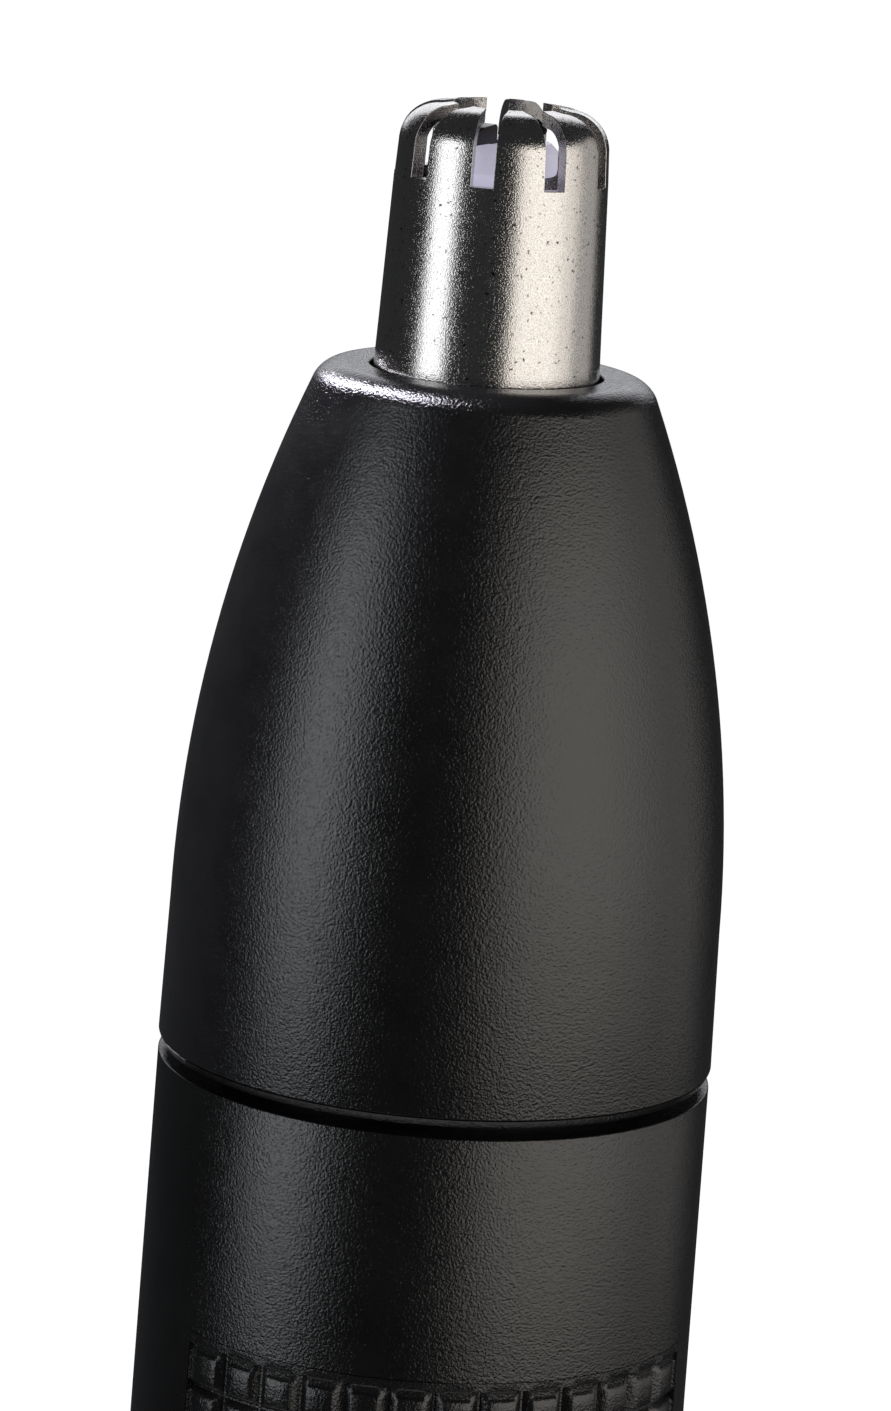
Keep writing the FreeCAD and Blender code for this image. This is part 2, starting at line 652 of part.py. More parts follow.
def chassis():
    body = new_body("chassis")
    groove_half = "(neck_seal_wire + seal_play)"
    groove_floor = "neck_seal_mean - neck_seal_wire - seal_play"
    turned(body, [
        ("tube_bore", "tube_foot"), ("tube_radius", "tube_foot"),
        ("tube_radius", "bulkhead_foot - 1.4"), ("chassis_radius", "bulkhead_foot - 0.4"),
        ("chassis_radius", "handle_top - top_wall - neck_play"),
        ("neck_radius", "handle_top - top_wall - neck_play"),
        ("neck_radius", f"neck_seal_mid - {groove_half}"),
        (groove_floor, f"neck_seal_mid - {groove_half}"),
        (groove_floor, f"neck_seal_mid + {groove_half}"),
        ("neck_radius", f"neck_seal_mid + {groove_half}"),
        ("neck_radius", f"{NECK_TOP} - edge_bevel"), ("neck_radius - edge_bevel", NECK_TOP),
        ("neck_bore", NECK_TOP), ("neck_bore", "motor_seat + motor_wall"),
        ("seal_collar", "motor_seat + motor_wall"),
        ("seal_collar", "motor_seat + motor_wall + collar_height"),
        ("shaft_seal_radius", "motor_seat + motor_wall + collar_height"),
        ("shaft_seal_radius", "motor_seat"), ("cradle_bore", "motor_seat"),
        ("cradle_bore", BULKHEAD_TOP), ("0", BULKHEAD_TOP), ("0", "bulkhead_foot"),
        ("tube_bore", "bulkhead_foot"),
    ])
    # the cradle is open at the back, so that the motor can be put in
    block(body, ("-cradle_bore", "axle_radius", f"{BULKHEAD_TOP} + 1"),
          ("cradle_bore", "chassis_radius + 1", "motor_seat - 1"), adds=False)
    # slot for the long contact strip
    block(body, ("-strip_half - 0.6", "tube_bore - 1", "tube_foot - 1"),
          ("strip_half + 0.6", "chassis_radius + 1", f"{BULKHEAD_TOP} + 2"), adds=False)
    # flat behind the switch, and the way in for its two contacts
    block(body, ("-bridge_width / 2 - 0.3", "-chassis_radius - 1", "plate_foot"),
          ("bridge_width / 2 + 0.3", "-contact_flat", "motor_seat - motor_length + 0.5"), adds=False)
    block(body, ("-contact_half - 0.8", "-chassis_radius - 1", "plate_foot - 0.3"),
          ("contact_half + 0.8", "-tube_bore + 0.8", "bulkhead_foot"), adds=False)
    block(body, ("contact_half - 0.4", "-chassis_radius", "tab_foot + 1.2"),
          ("contact_half + 1.4", "-cradle_bore + 1", "tab_foot + 2.3"), adds=False)
    for side in ("", "-"):
        hole(body, "screw_radius + 0.1", "motor_seat - 0.1", "motor_wall + 0.2", across=f"{side}screw_offset")
    # bayonet channels of the neck, open at the top
    channel = turned(body, [
        ("channel_radius", "channel_foot"), ("neck_radius + 1", "channel_foot"),
        ("neck_radius + 1", f"{NECK_TOP} + 1"), ("channel_radius", f"{NECK_TOP} + 1"),
    ], adds=False, angle="twist_angle + lug_angle / 2 + lug_play", behind="lug_angle / 2 + lug_play")
    repeat(body, channel, 2)
    # keyway of the guard carrier
    block(body, ("-key_width / 2 - 0.1", "neck_bore - 1", f"{RIM} + plug_foot - 0.2"),
          ("key_width / 2 + 0.1", "key_radius + 0.15", f"{NECK_TOP} + 1"), adds=False)
    return body


def shaft_seal():
    """Rubber seal with two lips on the drive coupling."""
    body = new_body("shaft_seal", "motor_seat + motor_wall + 0.3")
    turned(body, [
        ("shaft_seal_radius", "0"), ("shaft_seal_radius", "shaft_seal_height"),
        ("shaft_seal_bore + 0.4", "shaft_seal_height"), ("shaft_seal_bore", "shaft_seal_height - 0.3"),
        ("shaft_seal_bore", "shaft_seal_height - 0.7"), ("shaft_seal_bore + 0.5", "shaft_seal_height / 2"),
        ("shaft_seal_bore", "0.7"), ("shaft_seal_bore", "0.3"), ("shaft_seal_bore + 0.4", "0"),
    ])
    return body


# ---- motor ---------------------------------------------------------------

def motor_can():
    body = new_body("motor_can", MOTOR_FOOT)
    flatted(body, "motor_radius", "motor_flat", "0", "motor_length")
    flatted(body, "(motor_radius - can_gauge)", "(motor_flat - can_gauge)", "-1",
            "motor_length - can_gauge + 1", adds=False)
    hole(body, "boss_radius", "motor_length - can_gauge", "boss_height + can_gauge", adds=True)
    hole(body, "bush_radius", "motor_length - 2", "boss_height + 3")
    for side in ("", "-"):
        hole(body, "screw_radius + 0.05", "motor_length - 1", "2", across=f"{side}screw_offset")
    return body


def motor_end_bell():
    """Plastic end of the motor that holds the rear bush, the brushes and the tabs."""
    body = new_body("motor_end_bell", MOTOR_FOOT)
    flatted(body, "motor_radius", "motor_flat", "-bell_height", "bell_height")
    flatted(body, "(motor_radius - can_gauge - 0.05)", "(motor_flat - can_gauge - 0.05)", "0", "bell_plug")
    hole(body, "bush_radius + 0.8", "-bell_height - 0.8", "0.8", adds=True)
    hole(body, "bush_radius", "-bell_height - 1", "bell_height + bell_plug + 2")
    for side in (1, -1):
        near, far = ("tab_offset - 0.02", "tab_offset + tab_gauge + 0.02")[::side]
        sign = "" if side > 0 else "-"
        block(body, (f"{sign}({near})", "-tab_width / 2 - 0.02", "-bell_height - 1"),
              (f"{sign}({far})", "tab_width / 2 + 0.02", "bell_plug + 1"), adds=False)
    return body


def motor_bush(name, foot, height):
    body = new_body(name, foot)
    turned(body, [
        ("axle_radius + axle_play", "0"), ("bush_radius", "0"),
        ("bush_radius", height), ("axle_radius + axle_play", height),
    ])
    return body


def motor_terminals():
    body = new_body("motor_terminals")
    tab_top = f"{MOTOR_FOOT} + bell_plug"
    for side in (1, -1):
        near, far = ("tab_offset", "tab_offset + tab_gauge")[::side]
        sign = "" if side > 0 else "-"
        block(body, (f"{sign}({near})", "-tab_width / 2", "tab_foot"),
              (f"{sign}({far})", "tab_width / 2", tab_top))
    return body


def motor_brushes():
    """Two carbon blocks on leaf springs that stand on the end bell."""
    body = new_body("motor_brushes", "commutator_foot")
    bell_top = f"{MOTOR_FOOT} + bell_plug - commutator_foot"
    for side in (1, -1):
        sign = "" if side > 0 else "-"
        face, back = ("commutator_radius + 0.05", "commutator_radius + 1")[::side]
        block(body, (f"{sign}({face})", "-0.5", "0.6"), (f"{sign}({back})", "0.5", "2.0"))
        near, far = ("commutator_radius + 0.8", "commutator_radius + 1")[::side]
        block(body, (f"{sign}({near})", "-0.5", bell_top), (f"{sign}({far})", "0.5", "2.0"))
    return body


def motor_magnets():
    body = new_body("motor_magnets", "core_foot + core_height / 2 - magnet_length / 2")
    arc = turned(body, [
        ("magnet_inside", "0"), ("magnet_outside", "0"),
        ("magnet_outside", "magnet_length"), ("magnet_inside", "magnet_length"),
    ], angle="magnet_angle")
    repeat(body, arc, 2)
    return body


def motor_shaft():
    body = new_body("motor_shaft", "axle_foot")
    tall = "axle_top - axle_foot"
    turned(body, [
        ("0", "0"), ("axle_radius - 0.2", "0"), ("axle_radius", "0.2"),
        ("axle_radius", f"{tall} - 0.2"), ("axle_radius - 0.2", tall), ("0", tall),
    ])
    return body


def armature_core():
    """Three-pole laminated core."""
    body = new_body("armature_core", "core_foot")
    hole(body, "core_radius", "0", "core_height", adds=True)
    window = turned(body, [
        ("core_hub", "-1"), ("pole_inside", "-1"), ("pole_inside", "core_height + 1"), ("core_hub", "core_height + 1"),
    ], adds=False, angle="window_angle")
    repeat(body, window, 3)
    mouth = block(body, ("pole_inside - 0.3", "-0.45", "-1"), ("core_radius + 1", "0.45", "core_height + 1"),
                  adds=False)
    repeat(body, mouth, 3)
    hole(body, "axle_radius", "-1", "core_height + 2")
    return body


def armature_windings():
    """Three copper coils, one round each pole."""
    body = new_body("armature_windings", "core_foot")
    loop = block(body, ("-coil_outside", "-coil_half", "-coil_overhang"),
                 ("-coil_inside", "coil_half", "core_height + coil_overhang"))
    repeat(body, loop, 3)
    inside = block(body, ("-coil_outside - 0.1", "-coil_hole", "-0.05"),
                   ("-coil_inside + 0.1", "coil_hole", "core_height + 0.05"), adds=False)
    repeat(body, inside, 3)
    return body


def commutator():
    body = new_body("commutator", "commutator_foot")
    turned(body, [
        ("axle_radius", "0"), ("commutator_radius", "0"),
        ("commutator_radius", "commutator_height"), ("axle_radius", "commutator_height"),
    ])
    slit = block(body, ("commutator_radius - 0.4", "-0.12", "-1"),
                 ("commutator_radius + 1", "0.12", "commutator_height - 0.4"), adds=False)
    repeat(body, slit, 3)
    return body


def motor_screws():
    """Two cross-head screws that hold the motor against the chassis."""
    body = new_body("motor_screws", "motor_seat + motor_wall")
    for side in ("", "-"):
        middle = f"{side}screw_offset"
        hole(body, "screw_radius", "-motor_wall - 1.2", "motor_wall + 1.2", across=middle, adds=True)
        hole(body, "screw_head", "0", "head_height", across=middle, adds=True)
        for wide, deep in (("0.75", "0.18"), ("0.18", "0.75")):
            block(body, (f"{middle} - {wide}", f"-{deep}", "head_height - 0.45"),
                  (f"{middle} + {wide}", deep, "head_height + 0.1"), adds=False)
    return body


# ---- drive and cutter ----------------------------------------------------

def drive_coupling():
    """Pressed on the motor shaft; its tongue slides in the cutter's socket."""
    body = new_body("drive_coupling", turn="cutter_turn")
    turned(body, [
        ("axle_radius", "coupling_foot"), ("coupling_radius", "coupling_foot"),
        ("coupling_radius", "spring_seat - collar_gauge"), ("collar_radius", "spring_seat - collar_gauge"),
        ("collar_radius", "spring_seat"), ("tongue_radius", "spring_seat"),
        ("tongue_radius", "tongue_top - 0.4"), ("tongue_radius - 0.4", "tongue_top"),
        ("0", "tongue_top"), ("0", "axle_top + 0.05"), ("axle_radius", "axle_top + 0.05"),
    ])
    block(body, ("-tongue_radius", "tongue_flat", "spring_seat"),
          ("tongue_radius", "tongue_radius", "tongue_top + 1"), adds=False)
    block(body, ("-tongue_radius", "-tongue_radius", "spring_seat"),
          ("tongue_radius", "-tongue_flat", "tongue_top + 1"), adds=False)
    return body


def cutter_shaft():
    body = new_body("cutter_shaft", RIM, "cutter_turn")
    foot = f"(cutter_foot - {RIM})"
    ring_mid = "(ring_foot + ring_height / 2 - 0.2)"
    turned(body, [
        ("0", foot), ("socket_radius", foot), ("socket_radius", f"{foot} + socket_depth + 0.7"),
        ("stalk_radius", f"{foot} + socket_depth + 1.7"), ("stalk_radius", f"{ring_mid} - 1.9"),
        ("journal_radius", f"{ring_mid} - 1.1"), ("journal_radius", f"{ring_mid} + 1.1"),
        ("stalk_radius", f"{ring_mid} + 1.9"), ("stalk_top_radius", "hub_foot"),
        ("hub_radius", "hub_foot"), ("hub_radius", "hub_top - 0.3"),
        ("hub_radius - 0.3", "hub_top"), ("0", "hub_top"),
    ])
    flatted(body, "(tongue_radius + socket_play)", "(tongue_flat + socket_play)",
            f"{foot} - 0.1", "socket_depth + 0.1", adds=False)
    # slot for the blade
    block(body, ("-blade_foot_half - 0.05", "-blade_slot / 2", "hub_top - blade_root - 0.02"),
          ("blade_foot_half + 0.05", "blade_slot / 2", "hub_top + 1"), adds=False)
    # openings that lighten the journal
    opening = hole(body, "0.85", f"{ring_mid} - 3", "6", across="2.85")
    repeat(body, opening, 6)
    return body


def cutter_blade():
    """U-shaped plate held in the hub: two arms that sweep the slots of the guard."""
    body = new_body("cutter_blade", RIM, "cutter_turn")
    root = "hub_top - blade_root"
    right = [
        ("blade_foot_half", root), ("blade_foot_half", "hub_top + 0.02"),
        ("blade_reach - 0.3", "hub_top + 0.02"),
        ("blade_reach - 0.1", "hub_top + 0.07", "arc"),
        ("blade_reach - 0.03", "hub_top + 0.2"),
        ("blade_reach - 0.29", "shoulder_height + 0.62", "arc"),
        ("blade_reach - 0.95", "shoulder_height + 0.95"),
        ("notch_half + 0.15", "shoulder_height + 1.02"),
        ("notch_half", "shoulder_height + 0.9"),
        ("notch_half", "hub_top + 0.3"),
        ("notch_half - 0.09", "hub_top + 0.09", "arc"),
        ("notch_half - 0.3", "hub_top"),
    ]
    left = [(f"-({point[0]})",) + point[1:] for point in reversed(right)]
    sketch = new_sketch(body, "XZ_Plane")
    outline(sketch, right + left)
    made = feature(body, "Pad", sketch)
    made.Midplane = True
    made.setExpression("Length", link("blade_gauge"))
    settle(body, made, 0.0, True)
    return body


# ---- head ----------------------------------------------------------------

def head_cover():
    body = new_body("head_cover", RIM)
    turned(body, [
        ("cover_bore + 0.3", "0"), ("rim_radius", "0"), ("cover_radius", "rim_bevel"),
        ("curve_radius", "curve_foot"), ("curve_mid_radius", "curve_mid", "arc"),
        ("curve_top_radius", "cover_length - top_round"),
        ("curve_top_radius - top_round * 0.5", "cover_length - top_round * 0.306", "arc"),
        ("curve_top_radius - top_round * 1.41", "cover_length"),
        ("guard_hole + 0.12", "cover_length"), ("guard_hole", "cover_length - 0.12"),
        ("guard_hole", "cover_length - 1.6"), ("guard_hole + 0.2", "guard_foot + 0.75"),
        ("nose_bore", "guard_foot + 0.75"), ("nose_bore", "guard_foot - 1.1"),
        ("cover_bore - 0.5", "guard_foot - 9.6"), ("cover_bore", "guard_foot - 13.6"),
        ("cover_bore", "0.3"),
    ])
    lug_foot = f"channel_foot - {RIM} + 0.85"
    lug = turned(body, [
        ("channel_radius + 0.25", lug_foot), ("cover_bore + 0.2", f"{lug_foot} - 0.4"),
        ("cover_bore + 0.2", f"{lug_foot} + 1.8"), ("channel_radius + 0.25", f"{lug_foot} + 1.8"),
    ], angle="lug_angle")
    repeat(body, lug, 2)
    return body


def guard_tip():
    """Slotted steel cap: a drawn tube with a rounded, open end and a flange at its foot."""
    body = new_body("guard_tip", RIM)
    turned(body, [
        ("guard_root_radius - guard_gauge", "guard_foot"), ("guard_flange", "guard_foot"),
        ("guard_flange", "guard_foot + guard_gauge"),
        ("guard_root_radius + 0.25", "guard_foot + guard_gauge"),
        ("guard_root_radius + 0.07", "guard_foot + guard_gauge + 0.07", "arc"),
        ("guard_root_radius", "guard_foot + guard_gauge + 0.25"),
        ("shoulder_radius", "shoulder_height"),
        ("shoulder_radius - 0.45", "shoulder_height + 1.14", "arc"),
        ("shoulder_radius - 1.6", "dome_height - 0.08"),
        ("dome_hole", "dome_height"), ("dome_hole", "dome_height - guard_gauge"),
        ("shoulder_radius - 1.62", "dome_height - guard_gauge - 0.09"),
        ("shoulder_radius - 0.86", "shoulder_height + 0.74", "arc"),
        ("shoulder_radius - guard_gauge", "shoulder_height"),
    ])
    # the first slot points to the back, so that a tooth stands in the middle of the front
    slot = block(body, ("-slot_width / 2", "dome_hole / 2", "slot_foot"),
                 ("slot_width / 2", "guard_flange", "dome_height + 1"), adds=False)
    repeat(body, slot, "slot_count")
    return body


def guard_carrier():
    """Holds the guard against the cover, and is keyed to the neck."""
    body = new_body("guard_carrier", RIM)
    seat = f"({NECK_TOP} - {RIM} + 0.1)"
    turned(body, [
        ("carrier_bore", "plug_foot"), ("plug_radius - 0.4", "plug_foot"), ("plug_radius", "plug_foot + 0.6"),
        ("plug_radius", seat), ("neck_radius + 0.15", seat), ("neck_radius + 0.15", f"{seat} + 1.35"),
        ("neck_radius - 0.6", "ring_foot - 4.5"), ("guard_flange - 0.25", "guard_foot - 1.6"),
        ("guard_flange - 0.25", "guard_foot"), ("ring_radius", "guard_foot"),
        ("ring_radius", "ring_foot"), ("ring_radius - 0.6", "ring_foot"),
        ("ring_radius - 0.6", "ring_foot - 1.5"), ("carrier_bore", "ring_foot - 2.6"),
    ])
    block(body, ("-key_width / 2", "carrier_bore + 0.6", "plug_foot"),
          ("key_width / 2", "key_radius", f"{seat} + 0.5"))
    return body


def guide_ring():
    """Plain bearing for the cutter's journal."""
    body = new_body("guide_ring", f"{RIM} + ring_foot")
    bore = "journal_radius + journal_play"
    turned(body, [
        (f"{bore} + 0.15", "0"), ("ring_radius", "0"), ("ring_radius", "ring_height"),
        (f"{bore} + 0.15", "ring_height"), (bore, "ring_height - 0.15"), (bore, "0.15"),
    ])
    return body


# ---- battery bay ---------------------------------------------------------

def battery_cell():
    body = new_body("battery_cell", "cell_foot")
    shoulder = "cell_shoulder - cell_foot"
    top = "cell_top - cell_foot"
    turned(body, [
        ("0", "0.15"), ("cell_radius - 1.4", "0.15"), ("cell_radius - 1.2", "0"),
        ("cell_radius - cell_round", "0"), ("cell_radius", "cell_round"),
        ("cell_radius", f"{shoulder} - cell_round"), ("cell_radius - cell_round", shoulder),
        ("button_radius + 0.9", shoulder), ("button_radius + 0.7", f"{shoulder} - 0.2"),
        ("button_radius", f"{shoulder} - 0.2"), ("button_radius", f"{top} - 0.2"),
        ("button_radius - 0.2", top), ("0", top),
    ])
    return body


def positive_contact():
    """Plate over the battery's button, with an upright that the switch reaches."""
    body = new_body("positive_contact")
    back = "-contact_flat - contact_gauge"
    block(body, ("-contact_half - 0.5", back, "plate_foot"),
          ("contact_half + 0.5", "contact_half + 0.5", "plate_foot + contact_gauge"))
    block(body, ("-contact_half", back, "plate_foot"), ("contact_half", "-contact_flat", "tab_foot"))
    return body


def switch_terminal():
    """Upright above the switch's gap, with an arm to the motor's tab."""
    body = new_body("switch_terminal")
    arm_foot = "tab_foot + 1.6"
    arm_top = "tab_foot + 1.6 + contact_gauge"
    block(body, ("-contact_half", "-contact_flat - contact_gauge", "tab_foot + 0.8"),
          ("contact_half + 1.2", "-contact_flat", f"{MOTOR_FOOT} + 0.2"))
    block(body, ("contact_half - 0.2", "-contact_flat", arm_foot), ("contact_half + 1.2", "tab_width / 2", arm_top))
    block(body, ("contact_half + 1.2", "-tab_width / 2", arm_foot), ("tab_offset", "tab_width / 2", arm_top))
    return body


def negative_strip():
    """Long strip from the end cap's contact to the motor's other tab."""
    body = new_body("negative_strip")
    outer = "strip_inside + contact_gauge"
    arm_foot = "tab_foot + 1.2"
    arm_top = "tab_foot + 1.2 + contact_gauge"
    block(body, ("-strip_half", "strip_inside", "cap_plug_top - 3.5"), ("strip_half", outer, arm_top))
    block(body, ("-tab_offset - tab_gauge", "strip_inside - 1", arm_foot), ("strip_half", outer, arm_top))
    block(body, ("-tab_offset - tab_gauge", "tab_width / 2", arm_foot), ("-tab_offset + 1.2", outer, arm_top))
    return body


def contact_carrier():
    """Disc in the end cap that doesn't turn with it and carries the contact."""
    body = new_body("contact_carrier", "carrier_foot")
    turned(body, [
        ("0", "0"), ("carrier_radius", "0"), ("carrier_radius", "disc_gauge"), ("2.2", "disc_gauge"),
        ("2.2", "disc_gauge + 1.6"), ("1.8", "disc_gauge + 2.0"), ("0", "disc_gauge + 2.0"),
    ])
    return body


def cap_contact():
    body = new_body("cap_contact", "carrier_foot + disc_gauge")
    edge = "finger_inside - 0.1"
    turned(body, [("2.25", "0"), (edge, "0"), (edge, "contact_gauge"), ("2.25", "contact_gauge")])
    outer = "finger_inside + contact_gauge"
    block(body, ("-strip_half", "finger_inside - 1", "0"), ("strip_half", outer, "contact_gauge"))
    block(body, ("-strip_half", "finger_inside", "0"),
          ("strip_half", outer, "cap_plug_top - carrier_foot - disc_gauge - 0.4"))
    return body


def end_cap():
    body = new_body("end_cap")
    groove_half = "(cap_seal_wire + seal_play)"
    groove_floor = "cap_seal_mean - cap_seal_wire - seal_play"
    side = "base_radius + base_round"
    turned(body, [
        ("0", "0"), ("base_radius", "0"),
        (f"{side} - base_round * 0.29", "base_round * 0.29", "arc"), (side, "base_round"),
        (f"{outside('cap_top')}", "cap_top - edge_bevel"),
        (f"{outside('cap_top')} - edge_bevel", "cap_top"), ("cap_plug_radius", "cap_top"),
        ("cap_plug_radius", f"cap_seal_mid - {groove_half}"), (groove_floor, f"cap_seal_mid - {groove_half}"),
        (groove_floor, f"cap_seal_mid + {groove_half}"), ("cap_plug_radius", f"cap_seal_mid + {groove_half}"),
        ("cap_plug_radius", "cap_plug_top - 0.3"), ("cap_plug_radius - 0.3", "cap_plug_top"),
        ("cap_bore", "cap_plug_top"), ("cap_bore", "base_gauge"), ("0", "base_gauge"),
    ])
    lug = turned(body, [
        ("cap_plug_radius - 0.3", "cap_lug_foot"), ("cap_lug_radius", "cap_lug_foot"),
        ("cap_lug_radius", "cap_lug_foot + cap_lug_height"),
        ("cap_plug_radius - 0.3", "cap_lug_foot + cap_lug_height"),
    ], angle="lug_angle")
    repeat(body, lug, 2)
    # coin slot in the base
    block(body, ("-5.5", "-0.9", "-1"), ("5.5", "0.9", "1.1"), adds=False)
    return body


# ---- assembly ------------------------------------------------------------

def build_parts():
    spring_room = "cutter_foot - spring_seat - 2 * spring_wire"
    coil_seat = "carrier_foot + disc_gauge + contact_gauge"
    return [
        handle_shell(), grip_panel(), switch_bezel(), switch_slider(), switch_bridge(),
        chassis(), shaft_seal(),
        ring("neck_seal", "neck_seal_mean", "neck_seal_wire", "neck_seal_mid"),
        motor_can(), motor_end_bell(), motor_terminals(), motor_brushes(), motor_magnets(),
        motor_bush("motor_front_bush", "motor_seat - 1.8", "1.8 + boss_height"),
        motor_bush("motor_rear_bush", f"{MOTOR_FOOT} - bell_height - 0.6", "bell_height + 1.4"),
        motor_shaft(), armature_core(), armature_windings(), commutator(), motor_screws(),
        drive_coupling(),
        coil("cutter_spring", "spring_seat", "spring_mean", "spring_wire", "spring_turns", spring_room,
             turn="cutter_turn"),
        cutter_shaft(), cutter_blade(),
        head_cover(), guard_tip(), guard_carrier(), guide_ring(),
        battery_cell(), positive_contact(), switch_terminal(), negative_strip(),
        contact_carrier(), cap_contact(),
        coil("negative_spring", coil_seat, "coil_mean", "coil_wire", "coil_turns",
             f"cell_foot - ({coil_seat}) - 2 * coil_wire - 0.05"),
        end_cap(),
        ring("cap_seal", "cap_seal_mean", "cap_seal_wire", "cap_seal_mid"),
    ]


def check_and_export(parts):
    doc.recompute()
    for item in doc.Objects:
        if "Invalid" in item.State or "Error" in item.State:
            raise RuntimeError(f"{item.Name} is {item.State}")
    for part in parts:
        if part.Shape.isNull() or not part.Shape.isValid():
            raise RuntimeError(f"{part.Label} has no valid shape")
    os.makedirs("parts", exist_ok=True)
    for part in parts:
        part.Shape.exportStep(f"parts/{part.Label}.step")
        box = part.Shape.BoundBox
        print(f"{part.Label:18s} {len(part.Shape.Solids)} solid(s) {part.Shape.Volume:9.1f} mm3"
              f"  z {box.ZMin:7.2f} to {box.ZMax:7.2f}  r {max(box.XMax, box.YMax):6.2f}")


fill_sheet()
check_and_export(build_parts())
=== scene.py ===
import json
import math

import bmesh
import bpy
from mathutils import Matrix, Vector

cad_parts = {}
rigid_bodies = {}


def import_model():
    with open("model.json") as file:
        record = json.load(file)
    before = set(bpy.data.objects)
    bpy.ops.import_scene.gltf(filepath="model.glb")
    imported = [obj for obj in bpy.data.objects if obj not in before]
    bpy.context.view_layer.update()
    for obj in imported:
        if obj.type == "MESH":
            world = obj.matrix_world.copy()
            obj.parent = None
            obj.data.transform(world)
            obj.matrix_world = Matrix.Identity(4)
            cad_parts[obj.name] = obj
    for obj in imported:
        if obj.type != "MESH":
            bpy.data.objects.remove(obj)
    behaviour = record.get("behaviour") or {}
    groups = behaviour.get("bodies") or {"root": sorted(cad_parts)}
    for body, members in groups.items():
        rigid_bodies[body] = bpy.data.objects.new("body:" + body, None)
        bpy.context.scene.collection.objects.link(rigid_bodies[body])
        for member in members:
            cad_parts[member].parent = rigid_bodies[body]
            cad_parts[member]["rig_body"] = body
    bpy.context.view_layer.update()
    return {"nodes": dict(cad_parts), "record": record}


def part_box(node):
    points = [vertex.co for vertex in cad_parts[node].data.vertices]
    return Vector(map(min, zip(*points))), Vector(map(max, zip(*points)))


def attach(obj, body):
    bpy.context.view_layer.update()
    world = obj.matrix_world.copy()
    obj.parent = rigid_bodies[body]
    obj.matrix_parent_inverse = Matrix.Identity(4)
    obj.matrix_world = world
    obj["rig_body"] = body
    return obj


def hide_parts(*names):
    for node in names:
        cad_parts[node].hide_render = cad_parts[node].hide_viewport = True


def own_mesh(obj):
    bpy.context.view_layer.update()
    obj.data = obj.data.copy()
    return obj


# A nose hair trimmer standing upright on its end cap. The front, with the grip panel, faces -Y.
# Profiles and sizes are written in millimetres and turned into metres where a mesh is made.
MM = 0.001

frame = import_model()

# heights in metres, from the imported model
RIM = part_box("head_cover")[0].z
SHELL_FOOT, SHELL_TOP = (corner.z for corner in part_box("handle_shell"))
PANEL_FOOT, PANEL_TOP = (corner.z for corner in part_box("grip_panel"))
CUTTER_FOOT, HUB_TOP = (corner.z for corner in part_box("cutter_shaft"))

# turned shapes: vertices round the axis, and the direction they start from
COLUMNS = 240
FRONT = math.radians(-90)

# the handle, in millimetres and degrees; it grows by FLARE for each millimetre downwards
SHELL_RADIUS = 11.35
FLARE = 0.0089
PANEL_RECESS = 10.75
PANEL_HALF_ANGLE = 61.5
PANEL_SEAM = 0.12
VISIBLE_SEAM = 0.035

# bayonet lugs, in degrees from the front, and the turn between locked and free
LUG_STARTS = (80, 260)
LUG_WIDTH = 20
LUG_TURN = 40

# the cutter's turn at rest
CUTTER_TURN = math.radians(55)


# ---- camera and stage ------------------------------------------------------

# distance in metres; the point aimed at is in millimetres above the cover's rim and left of the axis
CAMERA_AZIMUTH = math.radians(-10)
CAMERA_ELEVATION = math.radians(15.14)
CAMERA_DISTANCE = 0.25
CAMERA_LEAN = math.radians(4.35)
CAMERA_LENS = 154.74
AIM_HEIGHT = 14.553
AIM_LEFT = 0.623


def place_camera():
    """Look down at the head from its front left, with the camera tipped to one side."""
    across = Vector((math.cos(CAMERA_AZIMUTH), math.sin(CAMERA_AZIMUTH), 0))
    back = Vector((math.sin(CAMERA_AZIMUTH), -math.cos(CAMERA_AZIMUTH), 0))
    spot = Vector((0, 0, RIM)) + CAMERA_DISTANCE * (
        back * math.cos(CAMERA_ELEVATION) + Vector((0, 0, math.sin(CAMERA_ELEVATION))))
    target = Vector((0, 0, RIM + AIM_HEIGHT * MM)) - across * AIM_LEFT * MM
    data = bpy.data.cameras.new("camera")
    data.lens = CAMERA_LENS
    data.clip_start = 0.01
    camera = bpy.data.objects.new("camera", data)
    turn = (target - spot).to_track_quat("-Z", "Y").to_matrix().to_4x4()
    camera.matrix_world = Matrix.Translation(spot) @ turn @ Matrix.Rotation(CAMERA_LEAN, 4, "Z")
    bpy.context.scene.collection.objects.link(camera)
    bpy.context.scene.camera = camera
    bpy.context.scene.view_settings.view_transform = "Standard"


def outward(azimuth, elevation=0.0):
    """Direction away from the axis, in degrees to the camera's right and upwards."""
    angle, rise = CAMERA_AZIMUTH + math.radians(azimuth), math.radians(elevation)
    across = math.cos(rise)
    return Vector((math.sin(angle) * across, -math.cos(angle) * across, math.sin(rise)))


def area_lamp(name, width, height, radiance, colour, place):
    """A soft rectangular lamp of a given brightness, which the camera doesn't see."""
    data = bpy.data.lights.new(name, "AREA")
    data.shape = "RECTANGLE"
    data.size = width
    data.size_y = height
    data.color = colour
    data.energy = radiance * math.pi * data.size * data.size_y
    lamp = bpy.data.objects.new(name, data)
    lamp.matrix_world = place
    lamp.visible_camera = False
    bpy.context.scene.collection.objects.link(lamp)
    return lamp


def light_panel(name, start, end, reach, low, high, radiance, colour):
    """An upright panel round the object, between two azimuths in degrees and two heights."""
    left, right = outward(start) * reach, outward(end) * reach
    middle = (left + right) / 2
    turn = (-middle.normalized()).to_track_quat("-Z", "Y").to_matrix().to_4x4()
    place = Matrix.Translation(middle + Vector((0, 0, (low + high) / 2))) @ turn
    return area_lamp(name, (right - left).length, high - low, radiance, colour, place)


